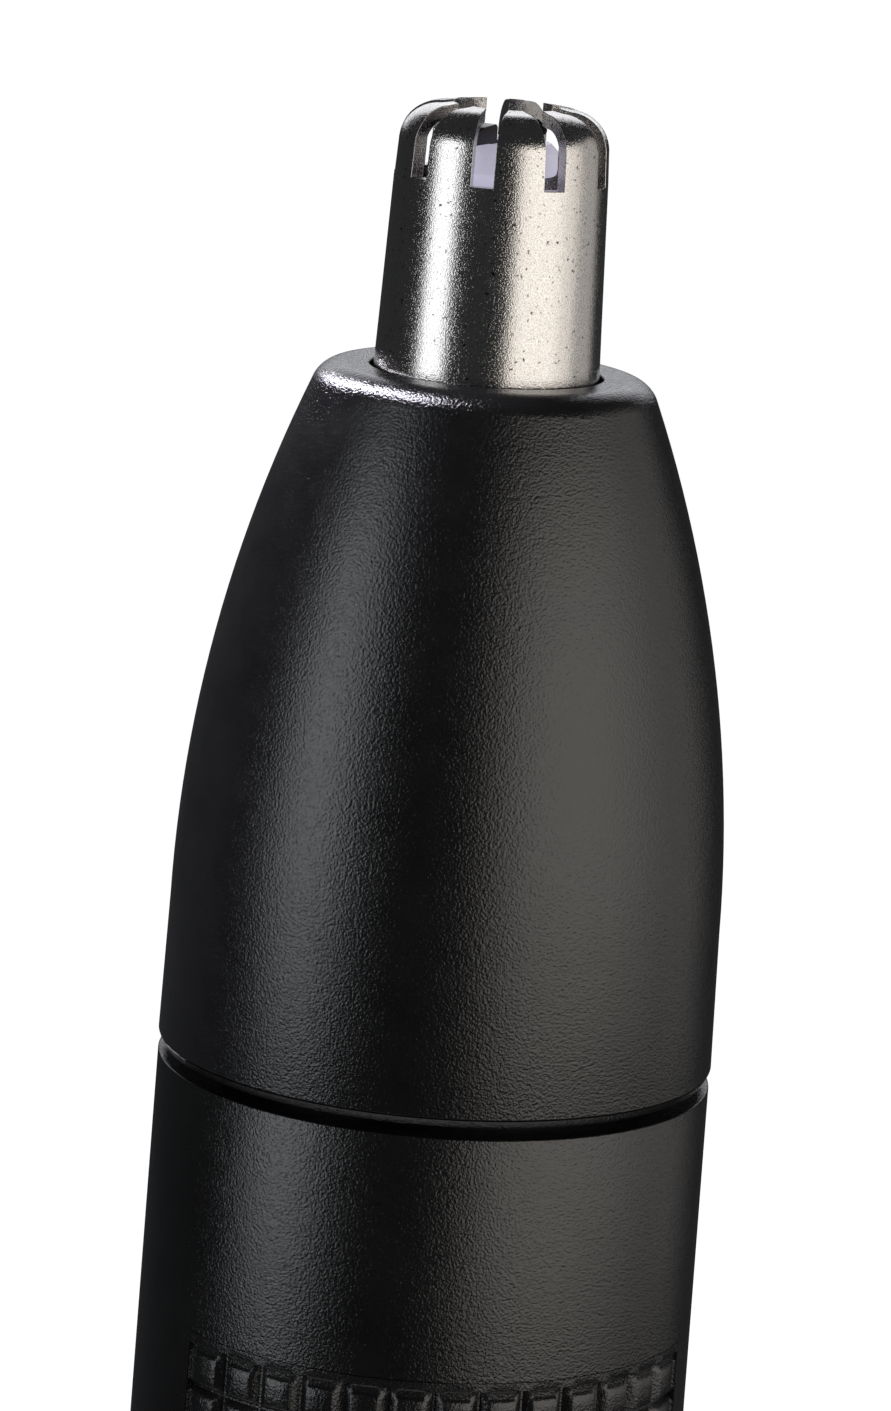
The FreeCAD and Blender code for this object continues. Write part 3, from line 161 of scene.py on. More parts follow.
def overhead_strip(name, start, end, reach, width, radiance, colour):
    """A long strip above the head, between two (azimuth, elevation) directions in degrees."""
    one, two = outward(*start) * reach, outward(*end) * reach
    along, facing = (two - one).normalized(), (one + two).normalized()
    turn = Matrix((along, facing.cross(along), facing)).transposed().to_4x4()
    place = Matrix.Translation(Vector((0, 0, RIM)) + (one + two) / 2) @ turn
    return area_lamp(name, (two - one).length, width, radiance, colour, place)


def place_lights(cover):
    """Panels left, right and behind, and a strip above that draws a line on the cover's top edge.

    The strip lights only the cover, because the steel tip reflects a dark ceiling.
    """
    cool, warm = (0.93, 0.96, 1.0), (1.0, 0.95, 0.89)
    # azimuths, distance, foot, top, brightness and colour of each panel
    light_panel("strip_left", -74, -46, 0.26, 0.02, 0.245, 2.2, cool)
    light_panel("panel_right", 20, 73, 0.26, 0.016, 0.255, 1.6, warm)
    light_panel("panel_right_rear", 73.2, 93, 0.26, 0.016, 0.255, 1.15, warm)
    light_panel("panel_far_right", 93.2, 128, 0.26, 0.016, 0.255, 0.5, (1.0, 0.96, 0.92))
    light_panel("panel_behind", -205, -150, 0.3, 0.15, 0.34, 1.3, (0.94, 0.95, 1.0))
    strip = overhead_strip("strip_above", (-64, 66), (-138, 24), 0.36, 0.04, 60.0, (0.9, 0.88, 1.0))
    lit = bpy.data.collections.new("lit_from_above")
    lit.objects.link(cover)
    strip.light_linking.receiver_collection = lit

    world = bpy.data.worlds.new("room")
    world.use_nodes = True
    sky = world.node_tree.nodes["Background"]
    sky.inputs["Color"].default_value = (0.9, 0.94, 1.0, 1)
    sky.inputs["Strength"].default_value = 0.035
    bpy.context.scene.world = world


FLOOR_COLUMNS = 96


def white_floor(name, outline):
    """A turned white piece of the stage, which doesn't light the object by itself."""
    piece = lathe(name, outline, FLOOR_COLUMNS)
    material, tree, shader = new_material(name + "_white", (0.85, 0.85, 0.85, 1), 0.9)
    shader.inputs["Emission Color"].default_value = (1, 1, 1, 1)
    shader.inputs["Emission Strength"].default_value = 1.0
    piece.data.materials.append(material)
    piece.visible_diffuse = False
    return piece, tree, shader


def place_floor():
    """A pale floor that rises into a backdrop all round, and a disc that glows under the object.

    The camera sees only the floor, and the object's reflections show only the disc.
    """
    reach, height, thick = 3.0, 5.0, 0.02
    floor, _, _ = white_floor("floor", [
        (0, -thick), (reach + thick, -thick), (reach + thick, height), (reach, height),
        (reach, 0.5), (reach - 0.15, 0.15), (reach - 0.5, 0), (0, 0),
    ])
    floor.visible_glossy = False

    radius, low, high, fade_scale = 0.09, -0.2 * MM, 0.05 * MM, 12
    near, tree, shader = white_floor("floor_near", [(0, low), (radius, low), (radius, high), (0, high)])
    place = node(tree, "TexCoord").outputs["Object"]
    place = node(tree, "Mapping", Vector=place, Scale=(fade_scale,) * 3).outputs["Vector"]
    fade = node(tree, "TexGradient", (("gradient_type", "SPHERICAL"),), Vector=place).outputs["Fac"]
    tree.links.new(spread(tree, fade, 0.0, 0.45, 0.0, 0.9), shader.inputs["Emission Strength"])
    near.visible_camera = False


# ---- profiles --------------------------------------------------------------

def arc_through(start, middle, end, steps=24):
    """Points of the arc between start and end that passes through middle."""
    a, b = middle - start, end - start
    cross = 2 * (a.x * b.y - a.y * b.x)
    centre = start + Vector((
        b.y * a.length_squared - a.y * b.length_squared,
        a.x * b.length_squared - b.x * a.length_squared)) / cross
    first = math.atan2(*reversed(start - centre))
    sweep = math.remainder(math.atan2(*reversed(end - centre)) - first, math.tau)
    radius = (start - centre).length
    turns = [first + sweep * i / steps for i in range(1, steps)]
    return [centre + radius * Vector((math.cos(turn), math.sin(turn))) for turn in turns]


def rounded_corner(before, corner, after, radius, steps=4):
    """Points of a fillet that rounds a corner."""
    one, two = (before - corner).normalized(), (after - corner).normalized()
    half = one.angle(two) / 2
    reach = radius / math.tan(half)
    start, end = corner + one * reach, corner + two * reach
    centre = corner + (one + two).normalized() * radius / math.sin(half)
    middle = centre + (corner - centre).normalized() * radius
    return [start] + arc_through(start, middle, end, steps) + [end]


def profile(corners, base=0.0):
    """Closed outline in metres, above a base height, from corners in millimetres.

    A corner is (radius, height), or (radius, height, rounding). A corner ("via", radius, height)
    is a point that an arc between its neighbours passes through.
    """
    spots = [Vector(corner[1:] if corner[0] == "via" else corner[:2]) for corner in corners]
    line = []
    for index, corner in enumerate(corners):
        before, here, after = spots[index - 1], spots[index], spots[(index + 1) % len(spots)]
        if corner[0] == "via":
            line += arc_through(before, here, after)
        elif len(corner) == 3:
            line += rounded_corner(before, here, after, corner[2])
        else:
            line.append(here)
    return [(point.x * MM, base + point.y * MM) for point in line]


# ---- meshes ----------------------------------------------------------------

def mesh_piece(name, points, faces):
    """Object with a mesh from points in metres, its faces turned outwards."""
    mesh = bpy.data.meshes.new(name)
    mesh.from_pydata([tuple(point) for point in points], [], faces)
    shape = bmesh.new()
    shape.from_mesh(mesh)
    bmesh.ops.recalc_face_normals(shape, faces=shape.faces)
    shape.to_mesh(mesh)
    shape.free()
    piece = bpy.data.objects.new(name, mesh)
    bpy.context.scene.collection.objects.link(piece)
    return piece


def on_circle(radius, angle, height):
    return Vector((radius * math.cos(angle), radius * math.sin(angle), height))


def lathe(name, line, columns=COLUMNS):
    """Turn a closed outline about the axis, with a vertex line straight at the front."""
    points, rings = [], []
    for radius, height in line:
        if radius < 1e-9:
            rings.append([len(points)] * columns)
            points.append(Vector((0, 0, height)))
        else:
            rings.append(list(range(len(points), len(points) + columns)))
            points += [on_circle(radius, FRONT + math.tau * i / columns, height) for i in range(columns)]
    faces = []
    for index, ring in enumerate(rings):
        other = rings[index - 1]
        for i in range(columns):
            j = (i + 1) % columns
            face = list(dict.fromkeys((ring[i], ring[j], other[j], other[i])))
            if len(face) > 2:
                faces.append(face)
    return mesh_piece(name, points, faces)


def push_patch(piece, low, high, start, end, radius, outer=True):
    """Push a patch of a turned wall to another radius; angles in degrees from the front."""
    shape = bmesh.new()
    shape.from_mesh(piece.data)
    patch = []
    for face in shape.faces:
        middle = face.calc_center_median()
        normal_out = face.normal.x * middle.x + face.normal.y * middle.y
        angle = math.degrees(math.remainder(math.atan2(middle.y, middle.x) - FRONT, math.tau))
        inside = start < angle < end or start < angle + 360 < end
        if low < middle.z < high and inside and abs(face.normal.z) < 0.5 and (normal_out > 0) == outer:
            patch.append(face)
    moved = bmesh.ops.extrude_face_region(shape, geom=patch)
    for vertex in moved["geom"]:
        if isinstance(vertex, bmesh.types.BMVert):
            scale = radius * MM / math.hypot(vertex.co.x, vertex.co.y)
            vertex.co.x *= scale
            vertex.co.y *= scale
    bmesh.ops.delete(shape, geom=patch, context="FACES_KEEP_BOUNDARY")
    bmesh.ops.recalc_face_normals(shape, faces=shape.faces)
    shape.to_mesh(piece.data)
    shape.free()


def box_tool(low, high, turn=0.0):
    """A block for cutting, between two corners in metres, turned about the axis."""
    spin = Matrix.Rotation(turn, 3, "Z")
    points = [
        spin @ Vector((x, y, z))
        for x in (low[0], high[0]) for y in (low[1], high[1]) for z in (low[2], high[2])
    ]
    faces = [(0, 1, 3, 2), (4, 6, 7, 5), (0, 4, 5, 1), (2, 3, 7, 6), (0, 2, 6, 4), (1, 5, 7, 3)]
    return mesh_piece("tool", points, faces)


def rod_tool(radius, low, high, across=0.0, turn=0.0):
    """An upright rod for cutting, beside the axis and turned about it."""
    tool = lathe("tool", [(0, low), (radius, low), (radius, high), (0, high)], 48)
    tool.data.transform(Matrix.Rotation(turn, 4, "Z") @ Matrix.Translation((across, 0, 0)))
    return tool


def cut(piece, tool, operation="DIFFERENCE"):
    """Cut, clip or join a piece with a closed tool, which is used up."""
    change = piece.modifiers.new("cut", "BOOLEAN")
    change.operation = operation
    change.solver = "EXACT"
    change.object = tool
    bpy.context.view_layer.update()
    result = piece.evaluated_get(bpy.context.evaluated_depsgraph_get())
    made = bpy.data.meshes.new_from_object(result)
    piece.modifiers.clear()
    piece.data = made
    bpy.data.objects.remove(tool)


def smooth(piece):
    """Shade smoothly, except across edges sharper than a set angle."""
    piece.data.shade_smooth()
    piece.data.set_sharp_from_angle(angle=math.radians(35))


def bevel(piece, width, limit, segments=2):
    """Round the edges sharper than a limit in degrees, by a width in millimetres."""
    change = piece.modifiers.new("bevel", "BEVEL")
    change.width = width * MM
    change.segments = segments
    change.limit_method = "ANGLE"
    change.angle_limit = math.radians(limit)
    change.harden_normals = True


def dress(piece, node):
    """Let a piece stand for the CAD node of the same place, with that node's body and finish."""
    slot = SLOT_OF[node]
    smooth(piece)
    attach(piece, BODY_OF[node])
    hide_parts(node)
    piece.data.materials.clear()
    piece.data.materials.append(MATERIALS[slot])
    return piece


# ---- materials -------------------------------------------------------------

def node(tree, kind, settings=(), **inputs):
    """Add a shader node, with inputs by name, each a value or the output of another node."""
    made = tree.nodes.new("ShaderNode" + kind)
    for key, value in settings:
        setattr(made, key, value)
    for label, value in inputs.items():
        socket = made.inputs[label.replace("_", " ")]
        if isinstance(value, bpy.types.NodeSocket):
            tree.links.new(value, socket)
        else:
            socket.default_value = value
    return made


def new_material(name, colour, roughness, metallic=0.0):
    """A material, its node tree and its shader."""
    material = bpy.data.materials.new(name)
    material.use_nodes = True
    tree = material.node_tree
    shader = tree.nodes["Principled BSDF"]
    shader.inputs["Base Color"].default_value = colour
    shader.inputs["Roughness"].default_value = roughness
    shader.inputs["Metallic"].default_value = metallic
    return material, tree, shader


def ramp(tree, value, stops):
    """Colours between stops (position, colour)."""
    made = node(tree, "ValToRGB", Fac=value)
    elements = made.color_ramp.elements
    while len(elements) < len(stops):
        elements.new(0.5)
    for element, (position, colour) in zip(elements, stops):
        element.position = position
        element.color = (*colour, 1)
    return made.outputs["Color"]


def spread(tree, value, low, high, low_value=0.3, high_value=0.7):
    """Map a noise value onto a range."""
    made = node(tree, "MapRange", Value=value, From_Min=low_value, From_Max=high_value,
                To_Min=low, To_Max=high)
    return made.outputs["Result"]


def combine(tree, operation, one, two):
    """Add or multiply two values."""
    made = node(tree, "Math", (("operation", operation),))
    tree.links.new(one, made.inputs[0])
    tree.links.new(two, made.inputs[1])
    return made.outputs[0]


def noise(tree, scale, detail=2.0, stretch=None):
    """Noise fixed to the piece; scale is features per metre, stretch a factor for each axis."""
    place = node(tree, "TexCoord").outputs["Object"]
    if stretch:
        place = node(tree, "Mapping", Vector=place, Scale=stretch).outputs["Vector"]
    return node(tree, "TexNoise", Vector=place, Scale=scale, Detail=detail).outputs["Fac"]


def bump(tree, height, strength, depth, below=None):
    """Surface relief with a depth in millimetres, on top of the relief below it."""
    inputs = {"Height": height, "Strength": strength, "Distance": depth * MM}
    if below:
        inputs["Normal"] = below
    return node(tree, "Bump", **inputs).outputs["Normal"]


def mottled(name, dark, light, rough, grain, metallic=0.0):
    """A surface with patches of colour, uneven gloss and a fine moulded or rolled grain."""
    material, tree, shader = new_material(name, (*dark, 1), rough[0], metallic)
    patches = noise(tree, 700, 4.0)
    fine = noise(tree, 9000, 3.0)
    tree.links.new(ramp(tree, patches, [(0.3, dark), (0.7, light)]), shader.inputs["Base Color"])
    tree.links.new(spread(tree, patches, *rough), shader.inputs["Roughness"])
    tree.links.new(bump(tree, fine, grain, 0.02), shader.inputs["Normal"])
    return material


def satin_plastic(name, dark, light, rough, grain):
    """Dark moulded plastic with an eroded grain, a few pits and faint rubbing marks."""
    material, tree, shader = new_material(name, (*dark, 1), rough[0])
    shader.inputs["IOR"].default_value = 1.6
    patches = noise(tree, 420, 5.0)
    grit = noise(tree, 9500, 2.0)
    fine = noise(tree, 21000, 2.0)
    rubbing = noise(tree, 1300, 5.0)
    place = node(tree, "TexCoord").outputs["Object"]
    pits = node(tree, "TexVoronoi", Vector=place, Scale=650.0).outputs["Distance"]
    shade = combine(tree, "MULTIPLY", patches, spread(tree, pits, 0.2, 1.0, 0.03, 0.09))
    tones = ramp(tree, shade, [(0.1, (0.002,) * 3), (0.32, dark), (0.65, light)])
    tree.links.new(tones, shader.inputs["Base Color"])
    gloss = combine(tree, "ADD", spread(tree, rubbing, *rough), spread(tree, fine, -0.05, 0.05))
    tree.links.new(gloss, shader.inputs["Roughness"])
    under = bump(tree, grit, 1.0, grain * 0.03)
    tree.links.new(bump(tree, fine, 1.0, grain * 0.003, under), shader.inputs["Normal"])
    return material


def guard_steel():
    """Drawn and tumbled stainless steel: a strong fine grain, dark pits, faint drawing lines."""
    material, tree, shader = new_material("guard_steel", (0.62, 0.61, 0.6, 1), 0.2, 1.0)
    cloud = noise(tree, 900, 5.0)
    grit = noise(tree, 17000, 2.0)
    lines = noise(tree, 6000, 3.0, (1, 1, 0.12))
    pits = spread(tree, noise(tree, 5200, 2.0), 0.0, 1.0, 0.27, 0.36)
    specks = spread(tree, noise(tree, 17000, 1.0), 0.0, 1.0, 0.58, 0.72)
    tone = combine(tree, "MULTIPLY", pits, spread(tree, grit, 0.5, 1.0, 0.3, 0.62))
    tones = ramp(tree, tone, [
        (0.0, (0.06, 0.05, 0.045)), (0.45, (0.4, 0.385, 0.37)), (1.0, (0.66, 0.64, 0.615))])
    tree.links.new(tones, shader.inputs["Base Color"])
    gloss = combine(tree, "ADD", spread(tree, cloud, 0.1, 0.16), spread(tree, grit, 0.06, -0.03))
    tree.links.new(gloss, shader.inputs["Roughness"])
    drawn = bump(tree, lines, 0.03, 0.01)
    rough = bump(tree, grit, 1.0, 0.0075, drawn)
    tree.links.new(bump(tree, specks, 1.0, 0.0018, rough), shader.inputs["Normal"])
    return material


def acetal(name, colour):
    """White bearing plastic that light passes into, with a painted glow: a lavender emission that
    brightens it as if lit.
    """
    material = mottled(name, tuple(part * 0.94 for part in colour), colour, (0.32, 0.42), 0.25)
    shader = material.node_tree.nodes["Principled BSDF"]
    shader.inputs["Subsurface Weight"].default_value = 1.0
    shader.inputs["Subsurface Radius"].default_value = (1, 0.9, 1)
    shader.inputs["Subsurface Scale"].default_value = 1.2 * MM
    # painted light: an emission that makes the hub glow, standing in for light the lamps don't bring
    # through the guard's slots
    shader.inputs["Emission Color"].default_value = (0.82, 0.8, 1.0, 1)
    shader.inputs["Emission Strength"].default_value = 0.38
    return material


# simple finishes: dark and light colour, range of roughness, strength of the grain
DULL_LOOKS = {
    "chassis_plastic": ((0.02,) * 3, (0.03,) * 3, (0.4, 0.5), 0.3),
    "carrier_plastic": ((0.05,) * 3, (0.07,) * 3, (0.35, 0.45), 0.3),
    "bell_plastic": ((0.55, 0.53, 0.48), (0.62, 0.6, 0.55), (0.4, 0.5), 0.3),
    "magnet_ferrite": ((0.04,) * 3, (0.06,) * 3, (0.55, 0.7), 0.4),
    "carbon": ((0.02,) * 3, (0.035,) * 3, (0.5, 0.65), 0.4),
    "seal_rubber": ((0.012,) * 3, (0.02,) * 3, (0.5, 0.65), 0.25),
    "cell_jacket": ((0.02, 0.05, 0.09), (0.03, 0.07, 0.12), (0.2, 0.3), 0.1),
}
METAL_LOOKS = {
    # blade_steel: dark steel made near black, which also paints in the shade the blade sits in under the
    # guard's dome
    "blade_steel": ((0.008, 0.0075, 0.0075), (0.014, 0.013, 0.013), (0.25, 0.35), 0.4),
    "spring_steel": ((0.4,) * 3, (0.55,) * 3, (0.18, 0.3), 0.2),
    "motor_steel": ((0.5,) * 3, (0.62, 0.61, 0.6), (0.25, 0.38), 0.2),
    "core_steel": ((0.25,) * 3, (0.35,) * 3, (0.35, 0.5), 0.4),
    "bush_bronze": ((0.5, 0.33, 0.16), (0.62, 0.42, 0.22), (0.3, 0.45), 0.3),
    "winding_copper": ((0.5, 0.14, 0.05), (0.65, 0.22, 0.09), (0.25, 0.35), 0.4),
    "commutator_copper": ((0.6, 0.26, 0.13), (0.72, 0.34, 0.18), (0.2, 0.35), 0.2),
    "contact_nickel": ((0.55, 0.52, 0.46), (0.68, 0.65, 0.58), (0.2, 0.32), 0.15),
    "screw_zinc": ((0.5, 0.5, 0.52), (0.65, 0.65, 0.66), (0.25, 0.4), 0.2),
}


def make_materials():
    """Materials by the name of their slot."""
    black = (0.0045, 0.0045, 0.0048), (0.0075, 0.0075, 0.0075)
    made = {
        "satin_black_plastic": satin_plastic("satin_black_plastic", *black, (0.15, 0.21), 1.0),
        "grip_black_plastic": satin_plastic("grip_black_plastic", *black, (0.22, 0.28), 1.0),
        "switch_plastic": satin_plastic("switch_plastic", (0.03,) * 3, (0.045,) * 3, (0.34, 0.44), 0.3),
        "pom_white": acetal("pom_white", (0.82, 0.8, 0.9)),
        "guard_steel": guard_steel(),
    }
    made.update((name, mottled(name, *look)) for name, look in DULL_LOOKS.items())
    made.update((name, mottled(name, *look, metallic=1.0)) for name, look in METAL_LOOKS.items())
    return made


# ---- the head --------------------------------------------------------------

def head_cover():
    """Ogive cover with a rounded rim, a flat top face, a hole for the guard and two lugs inside."""
    lug_foot, lug_top, lug_radius = 3.1, 4.85, 8.3
    line = profile([
        (9.5, 0.0), (11.17, 0.0, 0.03), (11.345, 0.315), (11.28, 0.355), (11.38, 0.395, 0.02),
        (11.26, 6.0), ("via", 10.02, 17.7), (6.98, 27.6), ("via", 6.55, 28.19), (5.78, 28.45),
        (4.84, 28.45), ("via", 4.755, 28.415), (4.72, 28.33), (4.72, 26.85), (4.92, 23.35),
        (6.6, 23.35, 0.2), (6.6, 21.5), (8.7, 13.0), (9.2, 9.0), (9.2, lug_top), (9.2, lug_foot),
        (9.2, 0.3),
    ], RIM)
    cover = lathe("head_cover_skin", line)
    for start in LUG_STARTS:
        push_patch(cover, RIM + lug_foot * MM, RIM + lug_top * MM,
                   start, start + LUG_WIDTH, lug_radius, outer=False)
    return dress(cover, "head_cover")


# the guard's slots, in millimetres from the cover's rim, and the columns of its mesh
SLOTS = 9
SLOT_FOOT = 36.24
SLOT_HALF = 0.45
TOOTH_COLUMNS = 12
SLOT_COLUMNS = 4


def guard_columns(radius):
    """Angles round the guard: each slot keeps its width, so its sides close in on the teeth's angles."""
    half = math.asin(min(SLOT_HALF / radius, 1))
    pitch = math.tau / SLOTS
    angles = []
    for slot in range(SLOTS):
        middle = math.radians(90) + slot * pitch
        tooth = pitch - 2 * half
        angles += [middle - half + 2 * half * i / SLOT_COLUMNS for i in range(SLOT_COLUMNS)]
        angles += [middle + half + tooth * i / TOOTH_COLUMNS for i in range(TOOTH_COLUMNS)]
    return angles


def guard_wall(corners):
    """Points in millimetres between corners, with an arc through each "via" corner."""
    spots = [Vector(corner[-2:]) for corner in corners]
    line = []
    for index, corner in enumerate(corners):
        if corner[0] == "via":
            line += arc_through(spots[index - 1], spots[index], spots[index + 1], 14)
        else:
            line.append(spots[index])
    return line


def guard_tip():
    """Drawn steel tube with a rounded, open end, nine slots and a flange at its foot."""
    outer = guard_wall([
        (6.2, 22.6), (6.2, 23.17), (4.99, 23.17), ("via", 4.81, 23.24), (4.74, 23.42), (4.48, 30.4),
        (4.285, SLOT_FOOT), (4.22, 37.45), ("via", 3.77, 38.59), (2.62, 39.07), (2.15, 39.15)])
    inner = guard_wall([
        (4.17, 22.6), (4.168, 23.0), (4.16, 23.17), ("via", 4.15, 23.3), (4.13, 23.42), (3.9, 30.4),
        (3.7, SLOT_FOOT), (3.65, 37.45), ("via", 3.36, 38.19), (2.6, 38.49), (2.15, 38.58)])
    slot_row = next(row for row, spot in enumerate(outer) if abs(spot.y - SLOT_FOOT) < 1e-4)
    count = SLOTS * (SLOT_COLUMNS + TOOTH_COLUMNS)
    rows = len(outer)
    points = [
        on_circle(spot.x * MM, angle, RIM + spot.y * MM)
        for line in (outer, inner) for spot in line for angle in guard_columns(spot.x)
    ]

    def at(skin, row, column):
        return (skin * rows + row) * count + column % count

    faces = []
    for column in range(count):
        beside = column + 1
        place = column % (SLOT_COLUMNS + TOOTH_COLUMNS)
        last = slot_row if place < SLOT_COLUMNS else rows - 1
        for row in range(last):
            for skin in (0, 1):
                faces.append((at(skin, row, column), at(skin, row, beside),
                              at(skin, row + 1, beside), at(skin, row + 1, column)))
        for row in (0, last):
            faces.append((at(0, row, column), at(0, row, beside), at(1, row, beside), at(1, row, column)))
        if place in (0, SLOT_COLUMNS):
            for row in range(slot_row, rows - 1):
                faces.append((at(0, row, column), at(0, row + 1, column),
                              at(1, row + 1, column), at(1, row, column)))
    guard = mesh_piece("guard_tip_steel", points, faces)
    shape = bmesh.new()
    shape.from_mesh(guard.data)
    loose = [vertex for vertex in shape.verts if not vertex.link_faces]
    bmesh.ops.delete(shape, geom=loose, context="VERTS")
    shape.to_mesh(guard.data)
    shape.free()
    bevel(guard, 0.03, 50)
    return dress(guard, "guard_tip")


# ---- the cutter ------------------------------------------------------------

def cutter_shaft():
    """Acetal shaft: socket, journal with six openings, and the hub that holds the blade."""
    line = profile([
        (0, 0.55), (3.0, 0.55, 0.15), (3.0, 5.6, 0.3), (1.7, 6.6, 0.3), (1.7, 16.6, 0.3),
        (4.0, 17.4, 0.15), (4.0, 19.6, 0.15), (1.7, 20.4, 0.3), (1.5, 36.45, 0.1), (2.2, 36.45, 0.1),
        (2.2, 37.4, 0.12), (1.9, 37.7, 0.08), (0, 37.7),
    ], RIM)
    shaft = lathe("cutter_shaft_body", line, 96)
    shaft.data.transform(Matrix.Rotation(CUTTER_TURN, 4, "Z"))

    slot_half, slot_reach, slot_depth = 0.27 * MM, 1.75 * MM, 0.92 * MM
    cut(shaft, box_tool((-slot_reach, -slot_half, HUB_TOP - slot_depth),
                        (slot_reach, slot_half, HUB_TOP + MM), CUTTER_TURN))

    openings, opening_radius, opening_circle = 6, 0.85 * MM, 2.85 * MM
    for index in range(openings):
        cut(shaft, rod_tool(opening_radius, RIM + 15.5 * MM, RIM + 21.5 * MM, opening_circle,
                            CUTTER_TURN + index * math.tau / openings))

    socket_radius, socket_depth, flats_half = 1.7 * MM, 4.35 * MM, 1.3 * MM
    socket = rod_tool(socket_radius, CUTTER_FOOT - MM, CUTTER_FOOT + socket_depth)
    cut(socket, box_tool((-2 * MM, -flats_half, CUTTER_FOOT - 2 * MM),
                         (2 * MM, flats_half, CUTTER_FOOT + 5 * MM), CUTTER_TURN), "INTERSECT")
    cut(shaft, socket)
    return dress(shaft, "cutter_shaft")


def prism_faces(count):
    """Faces of a prism: its two ends, then the wall between them."""
    faces = [tuple(range(count)), tuple(range(count, 2 * count))]
    return faces + [(i, (i + 1) % count, count + (i + 1) % count, count + i) for i in range(count)]


def cutter_blade():
    """U-shaped plate with two arms that sweep the slots of the guard."""
    right = profile([
        (1.7, 36.8), (1.7, 37.72), (3.25, 37.72), ("via", 3.45, 37.77), (3.52, 37.9),
        ("via", 3.26, 38.07), (2.6, 38.4), (1.35, 38.47, 0.1), (1.2, 38.35, 0.05), (1.2, 37.9),
        ("via", 1.11, 37.79), (0.9, 37.7),
    ], RIM)
    outline = right + [(-across, height) for across, height in reversed(right)]
    thickness = 0.5 * MM
    sides = (-thickness / 2, thickness / 2)
    points = [Vector((across, side, height)) for side in sides for across, height in outline]
    blade = mesh_piece("cutter_blade_steel", points, prism_faces(len(outline)))
    blade.data.transform(Matrix.Rotation(CUTTER_TURN, 4, "Z"))
    bevel(blade, 0.02, 60)
    return dress(blade, "cutter_blade")


def cutter_spring():
    """Coil of round wire from its seat up to the cutter's foot, at the cutter's rest height."""
    # height of the spring's seat, radius of the coil, radius of the wire, in metres
    seat, mean, wire = 0.0982, 2.3 * MM, 0.17 * MM
    turns, steps, around = 4, 192, 12
    low, high = seat + wire, CUTTER_FOOT - wire
    points = []
    for step in range(steps + 1):
        turn = math.tau * turns * step / steps
        height = low + (high - low) * step / steps
        for side in range(around):
            tilt = math.tau * side / around
            points.append(on_circle(mean + wire * math.cos(tilt), turn, height + wire * math.sin(tilt)))
    faces = [tuple(range(around)), tuple(range(steps * around, (steps + 1) * around))]
    for step in range(steps):
        here, ahead = step * around, (step + 1) * around
        for side in range(around):
            beside = (side + 1) % around
            faces.append((here + side, here + beside, ahead + beside, ahead + side))
    spring = dress(mesh_piece("cutter_spring_wire", points, faces), "cutter_spring")
    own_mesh(spring)


# ---- the handle ------------------------------------------------------------

def shell_radius(height):
    """Outside radius in millimetres of the handle at a height in metres."""
    return SHELL_RADIUS + FLARE * (SHELL_TOP - height) / MM


def handle_shell():
    """Round shell, slightly wider downwards, with a recess for the panel and channels for the end cap."""
    foot, top, socket_top = SHELL_FOOT / MM, SHELL_TOP / MM, 22.2
    recess_foot, recess_top = PANEL_FOOT / MM - PANEL_SEAM, PANEL_TOP / MM + PANEL_SEAM
    line = profile([
        (9.9, foot), (shell_radius(SHELL_FOOT) - 0.25, foot, 0.05),
        (shell_radius(SHELL_FOOT), foot + 0.25, 0.1),
        (shell_radius(recess_foot * MM), recess_foot), (shell_radius(recess_top * MM), recess_top),
        (shell_radius(SHELL_TOP), top, 0.07), (8.85, top, 0.08), (8.85, top - 1.5),
        (9.9, top - 1.5, 0.1), (9.9, socket_top),
    ])
    shell = lathe("handle_shell_skin", line)
    push_patch(shell, PANEL_FOOT - 2 * PANEL_SEAM * MM, PANEL_TOP + 2 * PANEL_SEAM * MM,
               -PANEL_HALF_ANGLE, PANEL_HALF_ANGLE, PANEL_RECESS)
    play, channel_radius = 0.5, 10.85
    for start in LUG_STARTS:
        push_patch(shell, 0, socket_top * MM, start - play, start + LUG_WIDTH + LUG_TURN + play,
                   channel_radius, outer=False)
    # the opening that the switch's stem runs in
    cut(shell, box_tool((-2.7 * MM, -13 * MM, 57.8 * MM), (2.7 * MM, -8.9 * MM, 66.2 * MM)))
    return dress(shell, "handle_shell")


# the pads' grid in millimetres and degrees; the rim step is (offset, depth) across its outermost lines
PAD_COLUMNS = 13
PAD_ROWS = 28
PAD_ANGLE = 9.34
PAD_PITCH = 1.7
GROOVE_DEPTH = 0.35
UPRIGHT_GROOVE = 0.72
LEVEL_GROOVE = 0.5
GRID_MARGIN = 0.55
RIM_REACH = 0.15
RIM_STEP = [(-0.19, 0.0), (-0.12, 0.03), (-0.06, 0.12), (0.18, 0.14), (0.26, 0.04), (0.33, 0.0)]


def groove_section(width, depth):
    """(offset, depth) in millimetres across one groove between pads, with softened pad edges."""
    half = width / 2
    side = [(0.04, depth - 0.02), (half * 0.55, depth * 0.5), (half, 0.03), (half + 0.07, 0.0)]
    return [(-offset, down) for offset, down in reversed(side)] + side


def grid_lines(first, pitch, count, width, low, high):
    """Places and depths of all lines across the panel in one direction, from low to high."""
    lines = [(low, 0.0)]
    for index in range(count + 1):
        middle = first + index * pitch
        section = groove_section(width, GROOVE_DEPTH)
        if index == 0:
            section = RIM_STEP
        elif index == count:
            section = [(-offset, depth) for offset, depth in reversed(RIM_STEP)]
        lines += [(middle + offset, depth) for offset, depth in section]
        if index < count:
            lines += [(middle + pitch * share, 0.0) for share in (0.42, 0.58)]
    return lines + [(high, 0.0)]


